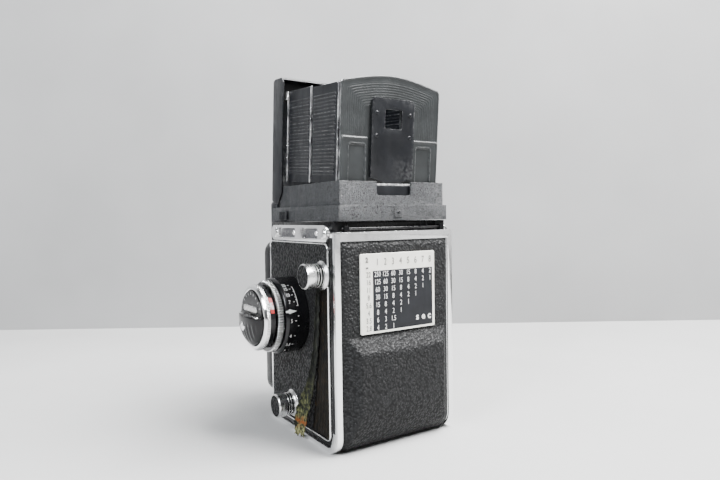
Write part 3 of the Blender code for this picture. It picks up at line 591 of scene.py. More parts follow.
bead_low, bead_high = box_mm("left_trim_bead")
upper_knob = middle_of("upper_spool_knob", 1, 2)
lower_knob = middle_of("lower_spool_knob", 1, 2)
drum_low, drum_high = box_mm("focus_scale_drum")
knob_centre = middle_of("focus_scale_drum", 1, 2)
drum_radius = (drum_high - drum_low)[2] / 2
crank_centre = middle_of("crank_hub", 1, 2)
side_face = 38.6
trim_line = dense(rounded_outline(bead_low[1:], bead_high[1:], 4.0))
knob_gap = (upper_knob, 8.5)
stands_for(
    bead("right_trim_bead_strip", trim_line, side_face + 0.1, 1, (0.95, 1.25), polished_chrome, knob_gap),
    "right_trim_bead",
    slot="chrome",
)
stands_for(
    bead("left_trim_bead_strip", trim_line, -side_face - 0.1, -1, (0.95, 1.25), polished_chrome),
    "left_trim_bead",
    slot="chrome",
)

# The torn edge, as (place along the body, height) from the knob down to the bottom.
torn_edge = np.array(
    [(32.7, 92.0), (22.4, 88.5), (21.4, 80.0), (21.2, 57.0), (18.6, 37.0), (16.0, 25.0), (12.4, 6.4)]
)


bead_inset = 1.1
skin_round = 3.0


def side_skin(name, face, out_by, holes, tear=None):
    """A flat leather skin inside the bead, with rounded corners, a slightly cushioned edge and holes for
    fittings.

    Rows go up the side and columns along it. Each row runs from the front edge to the rear one, which is
    drawn in at the corners by the bead's radius, or to the torn edge where there is one. Near any edge the
    skin dips.
    """
    z = np.linspace(bead_low[2] + bead_inset, bead_high[2] - bead_inset, 150)[:, None]
    from_end = np.minimum(z - z[0], z[-1] - z)
    pull = skin_round - np.sqrt(skin_round**2 - (skin_round - np.minimum(from_end, skin_round)) ** 2)
    front, rear = bead_low[1] + bead_inset + pull, bead_high[1] - bead_inset - pull
    if tear is not None:
        ragged = 0.35 * np.sin(z * 1.9) + 0.25 * np.sin(z * 4.3 + 1.0) + 0.3 * np.sin(z * 0.7)
        rear = np.minimum(rear, np.interp(z, tear[::-1, 1], tear[::-1, 0], right=99.0) + ragged * (z < 90))
    y = front + (rear - front) * np.linspace(0, 1, 110)[None, :]
    from_edge = np.minimum(np.minimum(y - front, rear - y), from_end)
    dip = 0.35 * np.exp(-from_edge / 0.5)
    wave = 0.05 * np.sin(y * 0.31 + 1.0) * np.sin(z * 0.23)
    points = np.stack([face + out_by * (1.05 + wave - dip), y, np.broadcast_to(z, y.shape)], axis=-1)
    centre = (points[:-1, :-1] + points[1:, 1:])[..., 1:] / 2
    keep = np.ones(centre.shape[:2], bool)
    for middle, radius in holes:
        keep &= np.linalg.norm(centre - middle, axis=-1) > radius
    return walled(surface(name, points, leather, keep=keep, flip=out_by > 0), 0.7)


right_holes = [(knob_centre, drum_radius - 0.8), (upper_knob, 7.2), (lower_knob, 7.2)]
counter_centre = middle_of("frame_counter_window", 1, 2)
left_holes = [(crank_centre, 14.0), (counter_centre, 4.6)]
stands_for(
    side_skin("right_side_leather", side_face, 1, right_holes, torn_edge),
    "right_leather",
    slot="leatherette",
)
stands_for(side_skin("left_side_leather", -side_face, -1, left_holes), "left_leather", slot="leatherette")

# The bare patch: old glue and corroded paint, as a thin crust on the casting between the tear and the bead.
share = np.linspace(0, 1, 60)[None, :]
patch_z = np.linspace(bead_low[2] + 1.2, 91.0, 130)[:, None]
patch_front = np.interp(patch_z, torn_edge[::-1, 1], torn_edge[::-1, 0]) - 1.5
patch_y = patch_front + (bead_high[1] - bead_inset - patch_front) * share
crust = 0.12 + 0.07 * np.sin(patch_y * 2.1 + patch_z) * np.sin(patch_z * 1.3)
crust = crust + 0.05 * np.sin(patch_y * 5 + patch_z * 3.7)
patch = np.stack([side_face + crust, patch_y, np.broadcast_to(patch_z, patch_y.shape)], axis=-1)
rides_with(
    walled(surface("bare_side_patch", patch, rusty_metal, flip=True), 0.1), "right_leather"
)

# The strip: a ribbon carried down a path beside the tear. It widens towards its end, and its edges are
# ragged.
strip_path = np.array(
    [
        (39.5, 24.2, 91.4),
        (40.0, 22.4, 84.0),
        (40.5, 22.2, 72.0),
        (40.7, 21.6, 60.0),
        (40.9, 19.6, 50.0),
        (41.3, 17.6, 41.0),
        (41.9, 15.0, 32.0),
        (42.6, 12.2, 25.0),
        (43.4, 9.2, 17.0),
        (43.6, 7.2, 9.0),
        (43.2, 5.2, 1.6),
    ]
)
t = np.linspace(0, len(strip_path) - 1, 170)
middle = np.stack([np.interp(t, np.arange(len(strip_path)), strip_path[:, i]) for i in range(3)], axis=-1)
smoothing = np.hanning(25) / np.hanning(25).sum()
padded_line = np.vstack([np.repeat(middle[:1], 12, 0), middle, np.repeat(middle[-1:], 12, 0)])
middle = np.stack([np.convolve(padded_line[:, i], smoothing, "valid") for i in range(3)], axis=-1)
down = t / t[-1]
half_width = np.interp(down, [0, 0.15, 0.55, 0.72, 0.85, 1.0], [0.6, 1.2, 1.9, 3.7, 4.1, 3.1])
half_width = half_width + 0.3 * np.sin(t * 5.1) * down + 0.22 * np.sin(t * 11.3 + 2)
lean_out = np.radians(np.interp(down, [0, 0.5, 0.75, 1.0], [65.0, 55.0, 34.0, 24.0]))
side = np.linspace(-1, 1, 22)
ragged_end = (down[:, None] > 0.96) * (0.8 * np.sin(side * 9) + 0.6 * np.sin(side * 21 + 1))[None, :]
curl = 0.9 * half_width[:, None] * side[None, :] ** 2 * 0.45
across_y = -np.cos(lean_out)[:, None] * half_width[:, None] * side[None, :] + np.sin(lean_out)[:, None] * curl
across_x = np.sin(lean_out)[:, None] * half_width[:, None] * side[None, :] + np.cos(lean_out)[:, None] * curl
crumple = 0.14 * np.sin(t[:, None] * 7 + side * 5) + 0.1 * np.sin(t[:, None] * 17 - side * 8)
strip = np.stack(
    [
        middle[:, :1] + across_x + crumple,
        middle[:, 1:2] + across_y,
        np.maximum(middle[:, 2:] + ragged_end * 0.8, 0.7),
    ],
    axis=-1,
)
rides_with(
    walled(surface("peeled_leather_strip", strip, peeled_back), 0.55, 0.0), "right_leather"
)

# ----------------------------------------------------------------------------------------------------
# Strap plates. Bright chrome plates along the top of each side, with two sunk windows for the strap's end
# fittings and a domed slotted screw at each end.
# ----------------------------------------------------------------------------------------------------


def slotted_screw(name, axis, centre, face, out_by, radius, material, turn=0.5, rise=0.5):
    """A domed head with a slot: a disc whose height is a shallow dome less a groove along one line through
    its middle.

    The disc is drawn on rings of radius and angle. The groove's depth falls off steeply either side of its
    line.
    """
    ring = np.append(np.linspace(0, 1, 22), 1.0)[:, None]
    angle = np.linspace(0, 2 * math.pi, 72, endpoint=False)[None, :]
    first, second = radius * ring * np.cos(angle), radius * ring * np.sin(angle)
    off_line = -first * math.sin(turn) + second * math.cos(turn)
    height = rise * np.sqrt(np.clip(1.05 - ring**2, 0, None)) + 0.25
    height = height - (0.28 + 0.3 * rise) / (
        1 + np.exp((np.abs(off_line) - 0.16 * radius) / (0.025 * radius))
    )
    height[-1:] = -0.3
    points = across(axis, face + out_by * height, centre[0] + first, centre[1] + second)
    facing_away = out_by > 0 if axis == "Y" else out_by < 0
    return weighted(surface(name, points, material, (False, True), flip=facing_away))


satin_chrome = finish_material(
    "satin chrome",
    clouded((0.72, 0.72, 0.71), (0.5, 0.49, 0.46), 0.55, 0.75, 1.5, 4.0),
    roughened(0.24, 0.38),
    1.0,
    height=grained(0.35, 2.0),
    depth=0.01,
)
dull_metal = finish_material(
    "dull window floor",
    clouded((0.05, 0.05, 0.055), (0.2, 0.2, 0.2), 0.4, 0.7, 0.7, 3.0),
    roughened(0.3, 0.5),
    0.6,
    height=grained(0.5, 2.0),
    depth=0.03,
)
lug_z = 118.0
for side_name, sign in (("right", 1), ("left", -1)):
    eased_copy(side_name + "_strap_lug", polished_chrome, 0.3, "chrome")
    for place_name, y, turn in (("front", -27.5, 0.9), ("rear", 32.0, 0.3)):
        name = f"{side_name}_{place_name}_lug_screw"
        screw = slotted_screw(name, "X", (y, lug_z), sign * 41.4, sign, 2.9, polished_chrome, turn, 0.45)
        rides_with(screw, side_name + "_strap_lug")
    for place_name, low_y, high_y in (("front", -23.0, -1.6), ("rear", 7.0, 25.5)):
        floor_line = rounded_outline((low_y + 0.3, 115.3), (high_y - 0.3, 120.7), 0.9, 6)
        rows = np.stack([floor_line, floor_line * 0.0 + floor_line.mean(0)])
        floor = across("X", sign * 39.5, rows[..., 0], rows[..., 1])
        name = f"{side_name}_{place_name}_window_floor"
        floor_sheet = surface(name, floor, dull_metal, (False, True), flip=sign > 0)
        rides_with(floor_sheet, side_name + "_strap_lug")
        name = f"{side_name}_{place_name}_window_stud"
        at = (high_y - 3.2, lug_z)
        pin = slotted_screw(name, "X", at, sign * 39.6, sign, 1.5, polished_chrome, 1.1, 0.9)
        rides_with(pin, side_name + "_strap_lug")

# ----------------------------------------------------------------------------------------------------
# Hinged back. One pressed and chromed L of back and bottom, with black hinge ears and a dark channel beside
# each rim. Leather covers the back over a pressed bulge for the film spool, below the exposure table.
# ----------------------------------------------------------------------------------------------------


def above_door(tree):
    """One on the black hinge ears, above the door's bright upper edge, and zero on the rest."""
    return ramp(tree, height_above(tree), 0.11855, 0.1187)


door_metal = finish_material(
    "door chrome with black ears",
    lambda tree: mixed(tree, above_door(tree), (0.92, 0.92, 0.92), (0.002, 0.002, 0.0023)),
    roughened(0.12, 0.24),
    lambda tree: math_node(tree, "SUBTRACT", 1.0, above_door(tree)),
    height=grained(6.0, 2.0),
    depth=0.006,
    Specular_IOR_Level=0.2,
)
eased_copy("back_door", door_metal, 0.45, "chrome")
channel_z = np.linspace(12.0, 116.0, 40)[:, None]
for side_name, sign in (("right", 1), ("left", -1)):
    channel = across(
        "X", sign * 40.03, *np.broadcast_arrays(np.linspace(37.1, 39.7, 4)[None, :], channel_z)
    )
    rides_with(
        surface(side_name + "_rim_channel", channel, black_enamel, flip=sign > 0),
        "back_door",
    )
eased_copy("tripod_socket", satin_chrome, 0.25, "steel")
eased_copy("door_latch", satin_chrome, 0.25, "satin_chrome")
leather_high = box_mm("back_leather")[1]
skin_half = leather_high[0]
door_rear = 42.0
corner = 10.0


def smooth_least(*values, softness=0.5):
    """The least of several heights, with the creases between them rounded over softness."""
    stacked = np.stack(np.broadcast_arrays(*values))
    return -softness * np.log(np.exp(-stacked / softness).sum(axis=0))


def back_skin_points(across_count=150, down_count=250):
    """Points of the leather on the back, by rows down it and columns across.

    A row's place is a distance down a line that drops straight down the back and then turns under a quarter
    circle. Every point stands off that line along its normal by the padding and the bulge. The padding
    rises from the rim over three millimetres. The bulge is the least of its slanted facets, with soft
    creases.
    """
    top, turn_start = leather_high[2], corner
    straight = top - turn_start
    under = math.radians(86.0) * corner
    s = np.linspace(0, straight + under, down_count)[:, None]
    x = np.linspace(-skin_half, skin_half, across_count)[None, :]
    angle = np.clip((s - straight) / corner, 0, None)
    z = np.where(s < straight, top - s, corner - corner * np.sin(angle))
    y = np.where(s < straight, door_rear, door_rear - corner + corner * np.cos(angle))
    normal_y, normal_z = np.cos(angle), -np.sin(angle)
    to_rim = smooth_least(skin_half - np.abs(x), s, straight + under - s, softness=0.8)
    rim = np.clip(to_rim / 3.2, 0, 1)
    padding = 1.15 * rim * rim * (3 - 2 * rim) - 0.75
    facets = (
        (62.2 - z) * 0.82,
        (33.6 - np.abs(x)) * 1.12,
        6.5 + 0.006 * (z - 24) - 0.0007 * x**2,
        (z - 0.4) * 0.27,
        (z - 5.8) * 0.47,
    )
    bulge = 0.4 * np.log1p(np.exp(smooth_least(*facets, softness=0.42) / 0.4))
    swell = 0.12 * np.sin(x * 0.21 + z * 0.13) * np.sin(z * 0.19)
    out_by = padding + bulge + swell * rim
    edge = (np.abs(x) > skin_half - 0.01) | (s < 0.01) | (s > straight + under - 0.01)
    out_by = np.where(edge, -1.0, out_by)
    return np.stack(
        [np.broadcast_to(x, out_by.shape), y + normal_y * out_by, z + normal_z * out_by], axis=-1
    )


back_skin = surface("back_leather_cover", back_skin_points(), leather, flip=True)
stands_for(walled(back_skin, 0.2), "back_leather", slot="leatherette")

# The exposure table: a pale enamelled plate with a black field, grey figures round it and white ones in it.
table_low, table_high = box_mm("exposure_table")
table_width, table_height = table_high[0] - table_low[0], table_high[2] - table_low[2]
plate_enamel = finish_material(
    "pale plate enamel",
    clouded((0.80, 0.79, 0.73), (0.70, 0.68, 0.61), 0.35, 0.75, 5.0, 4.0),
    roughened(0.35, 0.55),
    0.25,
    height=grained(0.6, 2.0),
    depth=0.01,
)
field_black = finish_material(
    "table black",
    painted((0.004, 0.0045, 0.006), (0.02, 0.02, 0.02), (0.03, 0.03, 0.033), 0.2, 0.3, 0.2),
    roughened(0.4, 0.6),
    height=grained(0.8, 2.0),
    depth=0.01,
    Specular_IOR_Level=0.25,
)
ink = {
    "white": finish_material(
        "white figures", clouded((0.70, 0.70, 0.69), (0.56, 0.56, 0.55), 0.3, 0.7, 1.0), 0.5
    ),
    "grey": finish_material(
        "grey figures", clouded((0.05, 0.048, 0.045), (0.12, 0.115, 0.11), 0.3, 0.7, 1.0), 0.5
    ),
    "red": finish_material(
        "red enamel", clouded((0.36, 0.02, 0.022), (0.42, 0.05, 0.045), 0.3, 0.7, 1.0), 0.35
    ),
}


def plate(name, axis, outline, near, far, edge, material):
    """A flat piece with quarter-round edges, from near to far along an axis.

    The outline is carried from near to far. At both faces it is drawn in along its own normals as a quarter
    circle goes in, and the faces are filled.
    """
    along = np.roll(outline, -1, axis=0) - np.roll(outline, 1, axis=0)
    along /= np.linalg.norm(along, axis=1, keepdims=True)
    inward = np.stack([-along[:, 1], along[:, 0]], axis=-1)
    turn = np.linspace(0, math.pi / 2, 5)
    draw_in = np.concatenate([1 - np.sin(turn), 1 - np.sin(turn[::-1])]) * edge
    step = np.sign(far - near)
    place = np.concatenate(
        [near + step * edge * (1 - np.cos(turn)), far - step * edge * (1 - np.cos(turn[::-1]))]
    )
    flat = outline[None, :, :] + inward[None, :, :] * draw_in[:, None, None]
    points = across(axis, place[:, None], flat[..., 0], flat[..., 1])
    return weighted(surface(name, points, material, (False, True), caps=True))


def lettering(name, words, colour, to_place, bold=0.0, narrow=0.8):
    """Printed figures. Each word (text, across, up, height) is a filled curve made into a mesh, made
    narrow, scaled to its height of capitals, and carried onto the piece by to_place, which gives the place
    of flat points.
    """
    points, faces, count = [], [], 0
    for text, first, second, height in words:
        curve = bpy.data.curves.new(name, "FONT")
        curve.body, curve.align_x, curve.align_y = text, "CENTER", "CENTER"
        curve.offset, curve.resolution_u = bold, 3
        written = bpy.data.objects.new(name, curve)
        flat = bpy.data.meshes.new_from_object(written)
        bpy.data.objects.remove(written)
        bpy.data.curves.remove(curve)
        at = np.zeros(len(flat.vertices) * 3)
        flat.vertices.foreach_get("co", at)
        at = at.reshape(-1, 3)[:, :2] * height / 0.7 * np.array([narrow, 1.0]) + np.array([first, second])
        points.append(to_place(at))
        faces += [[count + i for i in face.vertices] for face in flat.polygons]
        count += len(at)
        bpy.data.meshes.remove(flat)
    mesh = bpy.data.meshes.new(name)
    mesh.from_pydata((np.vstack(points) * MM).tolist(), [], faces)
    made = shown(name, mesh, ink[colour])
    mesh.shade_flat()
    return made


def on_table(flat, lift=0.0):
    """Flat points on the table's face: across runs from the knob side to the crank side, up runs up."""
    return np.stack([-flat[:, 0], np.full(len(flat), field_face + 0.04 + lift), flat[:, 1]], axis=-1)


table_face = table_high[1] - 0.12
field_face = table_face + 0.10
table_outline = rounded_outline(table_low[[0, 2]], table_high[[0, 2]], 0.8, 5)
table_plate = plate(
    "exposure_table_plate", "Y", table_outline, table_low[1] - 0.3, table_face, 0.2, plate_enamel
)
stands_for(table_plate, "exposure_table", slot="table_plate")
field_low = (-table_width / 2 + 1.7, table_low[2] + 0.03 * table_height)
field_high = (table_width / 2 - 0.155 * table_width, table_high[2] - 0.215 * table_height)
field_line = rounded_outline(field_low, field_high, 0.3, 3)
field = plate("exposure_table_field", "Y", field_line, table_face - 0.1, field_face, 0.04, field_black)
rides_with(field, "exposure_table")
row_step, column_step = 0.0955 * table_height, 5.19
first_row, first_column = table_high[2] - 0.262 * table_height, -14.4
seconds = [
    "250 125 60 30 15 8 4 2",
    "125 60 30 15 8 4 2 1",
    "60 30 15 8 4 2 1",
    "30 15 8 4 2 1",
    "15 8 4 2 1",
    "8 4 2 1",
]
seconds += ["6 3 1.5", "4 2 1"]
white_words = [
    (text, first_column + column_step * j, first_row - row_step * i, 2.75)
    for i, row in enumerate(seconds)
    for j, text in enumerate(row.split())
]
rides_with(
    lettering("exposure_times", white_words, "white", on_table, 0.0, 0.72), "exposure_table"
)
seconds_word = [
    (letter, 12.6 + 4.3 * i, table_low[2] + 0.145 * table_height, 3.7) for i, letter in enumerate("sec")
]
rides_with(
    lettering("seconds_word", seconds_word, "white", on_table, 0.03, 1.0), "exposure_table"
)
grey_words = [
    (str(i + 1), first_column + column_step * i, table_high[2] - 0.11 * table_height, 3.7) for i in range(8)
]
grey_words += [
    (text, -table_width / 2 + 5.0, first_row - row_step * i, 2.9)
    for i, text in enumerate(["22", "16", "11", "8", "5.6", "4", "3.5", "2.8"])
]
rides_with(
    lettering("table_scales", grey_words, "grey", on_table, 0.0, 0.72), "exposure_table"
)
corner_words = [
    ("2", -table_width / 2 + 4.0, table_high[2] - 3.4, 2.6),
    ("-", -table_width / 2 + 4.2, table_high[2] - 7.2, 3.4),
]
rides_with(
    lettering("table_corner_marks", corner_words, "grey", on_table, 0.05, 0.9),
    "exposure_table",
)

# Inside the back: the sprung plate that holds the film flat, its spring and the hinge pin.
steel = finish_material(
    "bright steel",
    clouded((0.5, 0.5, 0.5), (0.33, 0.32, 0.31), 0.4, 0.7, 1.2, 4.0, 0.6, (0.2, 1, 1)),
    roughened(0.25, 0.45),
    1.0,
    height=grained(0.4, 2.0, 0.5, (0.1, 1, 1)),
    depth=0.01,
)
eased_copy("pressure_plate", black_enamel, 0.3, "black_paint")
eased_copy("pressure_spring", steel, 0.08, "steel")
eased_copy("back_hinge_pin", black_enamel, 0.15, "black_paint")

# ----------------------------------------------------------------------------------------------------
# Focusing knob. A fixed black drum carries the distance scale. Outside it turn a coarsely knurled chrome
# ring with a white pointer, a black band with the film speed window, and a bright rim round the dial.
# ----------------------------------------------------------------------------------------------------
dial_black = finish_material(
    "gloss dial black",
    painted((0.002, 0.002, 0.0024), (0.06, 0.055, 0.05), (0.03, 0.03, 0.03), 0.25, 0.6, 0.12),
    roughened(0.14, 0.3),
    height=grained(2.0, 2.0),
    depth=0.008,
    Specular_IOR_Level=0.3,
)
band_low, band_high = box_mm("film_speed_band")
rim_low, rim_high = box_mm("knob_front_ring")
dome_front = box_mm("exposure_dial_dome")[1][0]
drum_line = [(drum_low[0], 0), (drum_low[0], drum_radius), (drum_high[0] - 1.2, drum_radius)]
drum_line += [(drum_high[0], drum_radius - 0.8), (drum_high[0], 0)]
drum = turned("distance_scale_drum", "X", knob_centre, eased(drum_line, 0.4), dial_black, 128)
stands_for(drum, "focus_scale_drum", slot="dial_black")
collar = turned(
    "drum_wall_flange",
    "X",
    knob_centre,
    eased([(39.6, 21.0), (39.6, 22.0), (40.6, 22.0), (41.2, 21.4), (41.2, 21.0)], 0.25, True),
    dial_black,
    128,
    ring=True,
)
rides_with(collar, "focus_scale_drum")

band_radius = (band_high - band_low)[2] / 2
ring_radius = 20.5
ring_line = [(53.8, 3.3), (53.8, 19.2), (54.3, ring_radius), (57.5, ring_radius), (58.0, 19.4), (58.0, 3.3)]
ring_rows = eased(ring_line, 0.35, True)
# Painted shade: the knurl's valleys are coloured dark.
ring_metal = finish_material(
    "knurled ring metal",
    groove_shaded_metal(knob_centre, ring_radius - 0.25, ring_radius - 0.75, (0.82, 0.82, 0.82), (0.10, 0.10, 0.10)),
    roughened(0.18, 0.32),
    1.0,
    height=grained(0.5, 2.0),
    depth=0.008,
)
knurled = turned(
    "knurled_focusing_ring", "X", knob_centre, ring_rows, ring_metal, 720, True, (86, 0.95, 54.0, 57.8)
)
stands_for(knurled, "focus_knob_ring", slot="chrome")


def on_cylinder(radius, middle_x, middle_angle):
    """A function that wraps flat points round the knob: across runs towards the body, up runs round the
    drum.
    """

    def place(flat):
        angle = math.radians(middle_angle) + flat[:, 1] / radius
        y, z = knob_centre[0] + radius * np.cos(angle), knob_centre[1] + radius * np.sin(angle)
        return np.stack([middle_x - flat[:, 0], y, z], axis=-1)

    return place


def cylinder_patch(name, radius, x_range, angle_range, colour, node, steps=24):
    """A printed patch: the part of a cylinder between two places along the knob and two angles."""
    x = np.linspace(*x_range, 3)[None, :]
    angle = np.radians(np.linspace(*angle_range, steps))[:, None]
    y, z = knob_centre[0] + radius * np.cos(angle), knob_centre[1] + radius * np.sin(angle)
    points = np.stack(np.broadcast_arrays(x, y, z), axis=-1)
    return rides_with(surface(name, points, ink[colour]), node)


drum_print = drum_radius + 0.05
distances = [
    ("25", 56.5),
    ("15", 48.5),
    ("10", 37.8),
    ("7", 26.6),
    ("5", -1.2),
    ("4", -24.6),
    ("3.5", -41.0),
    ("3", -58.0),
]
for number, (text, angle) in enumerate(distances):
    figure = lettering(
        f"distance_figure_{number}",
        [(text, 0, 0, 2.1)],
        "white",
        on_cylinder(drum_print, 50.7, angle),
        0.0,
        0.8,
    )
    rides_with(figure, "focus_scale_drum")
    cylinder_patch(
        f"distance_tick_{number}",
        drum_print,
        (47.6, 48.6),
        (angle - 0.35, angle + 0.35),
        "white",
        "focus_scale_drum",
        3,
    )
cylinder_patch("depth_of_field_line", drum_print, (46.0, 46.25), (20.0, 53.0), "white", "focus_scale_drum")
for number, angle in enumerate((20.5, 29.5, 34.0, 44.0, 52.5, 5.5, -9.0)):
    cylinder_patch(
        f"depth_tick_{number}",
        drum_print,
        (46.1, 46.9),
        (angle - 0.3, angle + 0.3),
        "white",
        "focus_scale_drum",
        3,
    )
pointer_tip = on_cylinder(drum_radius + 0.45, 51.6, 12.8)
share = np.linspace(0, 1, 20)
width = np.interp(share, [0, 0.25, 0.3, 1], [0.55, 0.55, 1.25, 0.12])
pointer_columns = [pointer_tip(np.stack([6.3 * share - 2.3, side * width], axis=-1)) for side in (-1, 0, 1)]
pointer_sheet = surface("distance_pointer", np.stack(pointer_columns, axis=1), ink["white"])
rides_with(walled(pointer_sheet, 0.3), "focus_knob_ring")

band_line = eased([(58.3, 3.3), (58.3, band_radius), (61.5, band_radius), (61.5, 3.3)], 0.3, True)
band = turned("speed_band", "X", knob_centre, band_line, dial_black, 128, True)
stands_for(band, "film_speed_band", slot="dial_black")
band_print = band_radius + 0.05
cylinder_patch("speed_red_top", band_print, (58.9, 61.2), (33.0, 43.0), "red", "film_speed_band")
cylinder_patch("speed_white", band_print, (58.9, 61.2), (20.6, 33.0), "white", "film_speed_band")
cylinder_patch("speed_red_bottom", band_print, (58.9, 61.2), (13.5, 20.6), "red", "film_speed_band")
speed_words = [("8", -0.55, 3.2, 1.5), ("4", 0.55, 0.9, 1.5), ("1", -0.55, -1.4, 1.5)]
red_figures = lettering(
    "speed_figures", speed_words, "red", on_cylinder(band_print + 0.04, 60.0, 26.5), 0.05
)
rides_with(red_figures, "film_speed_band")

rim_radius = (rim_high - rim_low)[2] / 2
rim_line = [
    (61.8, 3.3),
    (61.8, rim_radius),
    (63.6, rim_radius),
    (64.9, rim_radius - 1.1),
    (65.0, 16.4),
    (64.5, 15.8),
]
rim_line += [(62.7, 15.8), (62.7, 3.3)]
rim = turned(
    "bright_dial_rim",
    "X",
    knob_centre,
    eased(rim_line, 0.25, True),
    polished_chrome,
    480,
    True,
    (118, 0.28, 61.9, 63.5),
)
stands_for(rim, "knob_front_ring", slot="chrome")


def dial_points(rings=44, turns=120):
    """The black dial: a shallow dome whose upper part steps down to a flat well behind a bar across the
    middle.

    The height along the knob is the dome's, less the step. The step follows a steep curve of the height
    above the bar, and narrow flutes run up the lower half.
    """
    share = np.linspace(0, 1, rings)[:, None]
    angle = np.linspace(0, 2 * math.pi, turns, endpoint=False)[None, :]
    dial_radius, ball_radius = 15.3, 16.4
    radius = dial_radius * np.sin(share * math.pi / 2)
    first, second = radius * np.cos(angle), radius * np.sin(angle)
    sag = 1 - np.sqrt(np.clip(1 - (radius / ball_radius) ** 2, 0, 1))
    edge_sag = 1 - math.sqrt(1 - (dial_radius / ball_radius) ** 2)
    dome = dome_front - 1.1 - 4.6 * sag / edge_sag
    lower_half = np.clip((-second - 1.5) / 3, 0, 1)
    inner_part = np.clip((14.2 - radius) / 2, 0, 1)
    flutes = 0.22 * np.cos(first * 1.9) * lower_half * inner_part
    well = 65.6 + 0 * second
    into_well = 1 / (1 + np.exp(-(second - 2.2) / 0.12))
    height = (dome + flutes) * (1 - into_well) + np.minimum(well, dome) * into_well
    body = np.stack([height, knob_centre[0] + first, knob_centre[1] + second], axis=-1)
    wall_radius = np.array([15.5, 15.5, 3.0, 3.0, 0.0])[:, None]
    wall_along = np.array([65.2, 63.0, 63.0, 53.8, 53.8])[:, None]
    wall = across(
        "X",
        wall_along,
        knob_centre[0] + wall_radius * np.cos(angle),
        knob_centre[1] + wall_radius * np.sin(angle),
    )
    return np.vstack([body, wall])


dial = surface("exposure_dial", dial_points(), dial_black, (False, True), flip=True)
stands_for(dial, "exposure_dial_dome", slot="dial_black")
bar_outline = rounded_outline(
    (knob_centre[0] - 9.0, knob_centre[1] + 3.4), (knob_centre[0] + 9.0, knob_centre[1] + 7.2), 1.4, 6
)
bar = plate("dial_cross_bar", "X", bar_outline, 64.6, 66.6, 0.7, satin_chrome)
rides_with(bar, "exposure_dial_dome")
lip_outline = rounded_outline(
    (knob_centre[0] - 13.6, knob_centre[1] + 1.4), (knob_centre[0] + 13.6, knob_centre[1] + 2.1), 0.3, 4
)
rides_with(
    plate("dial_bar_lip", "X", lip_outline, 64.8, 68.6, 0.3, polished_chrome),
    "exposure_dial_dome",
)
dial_screw = slotted_screw(
    "dial_screw", "X", (knob_centre[0] - 1.5, knob_centre[1] - 4.3), 70.0, 1, 2.7, polished_chrome, 1.0, 0.9
)
rides_with(dial_screw, "exposure_dial_dome")
for number, angle in enumerate(np.radians(np.linspace(28, 152, 9))):
    spoke = np.array([(13.2, -0.12), (14.6, -0.12), (14.6, 0.12), (13.2, 0.12)])
    y = knob_centre[0] + spoke[:, 0] * math.cos(angle) - spoke[:, 1] * math.sin(angle)
    z = knob_centre[1] + spoke[:, 0] * math.sin(angle) + spoke[:, 1] * math.cos(angle)
    mark = np.stack([np.full(4, 65.66), y, z], axis=-1).reshape(2, 2, 3)
    mark[1] = mark[1, ::-1]
    rides_with(
        surface(f"dial_mark_{number}", mark, ink["white"], flip=True), "exposure_dial_dome"
    )

# ----------------------------------------------------------------------------------------------------
# Spool knobs. Two pull-out chrome knobs, knurled round the edge, with turned grooves in the neck, a flange
# on the body and a disc of the covering leather let into the face.
# ----------------------------------------------------------------------------------------------------
for place_name, centre in (("upper", upper_knob), ("lower", lower_knob)):
    node = place_name + "_spool_knob"
    knob_line = [
        (33.8, 0), (33.8, 2.8), (38.9, 2.8), (38.9, 8.0), (39.7, 8.0), (40.5, 6.8), (40.9, 6.5), (41.6, 6.5)
    ]
    knob_line += [
        (41.7, 5.0),
        (42.4, 5.0),
        (42.5, 6.5),
        (43.2, 6.5),
        (43.3, 5.0),
        (44.0, 5.0),
        (44.1, 6.5),
        (44.8, 6.5),
    ]
    knob_line += [
        (44.9, 5.0), (45.6, 5.0), (45.7, 6.9), (50.4, 6.9), (51.0, 6.3), (51.0, 5.7), (50.5, 5.6), (50.5, 0)
    ]
    # Painted shade: the neck's grooves and the bottoms of the knurl are coloured dark.
    knob_metal = finish_material(
        place_name + " knob metal",
        groove_shaded_metal(centre, 6.45, 6.0, (0.80, 0.80, 0.79), (0.035, 0.035, 0.035)),
        roughened(0.2, 0.34),
        1.0,
        height=grained(0.4, 2.0),
        depth=0.008,
    )
    knob = turned(
        place_name + "_winding_knob",
        "X",
        centre,
        eased(knob_line, 0.12),
        knob_metal,
        440,
        False,
        (44, 0.55, 46.0, 50.0),
    )
    stands_for(knob, node, slot="chrome")
    face_line = eased([(50.3, 0), (50.3, 5.55), (50.75, 5.5), (50.95, 5.0), (50.95, 0)], 0.15)
    rides_with(
        turned(place_name + "_knob_leather", "X", centre, face_line, leather, 64), node
    )

# ----------------------------------------------------------------------------------------------------
# Film path inside. Two black plastic spools on the knobs' shafts, and two steel rollers that lead the film
# past its gate.
# ----------------------------------------------------------------------------------------------------
black_plastic = finish_material(
    "black plastic",
    painted((0.020, 0.020, 0.021), (0.06, 0.06, 0.06), (0.1, 0.1, 0.1), 0.25, 0.4, 0.1),
    roughened(0.35, 0.5),
    height=grained(0.7, 2.0),
    depth=0.02,
)
for spool in ("take_up_spool", "supply_spool"):
    eased_copy(spool, black_plastic, 0.2, "black_plastic")
for roller in ("lower_film_roller", "upper_film_roller"):
    eased_copy(roller, steel, 0.12, "steel")

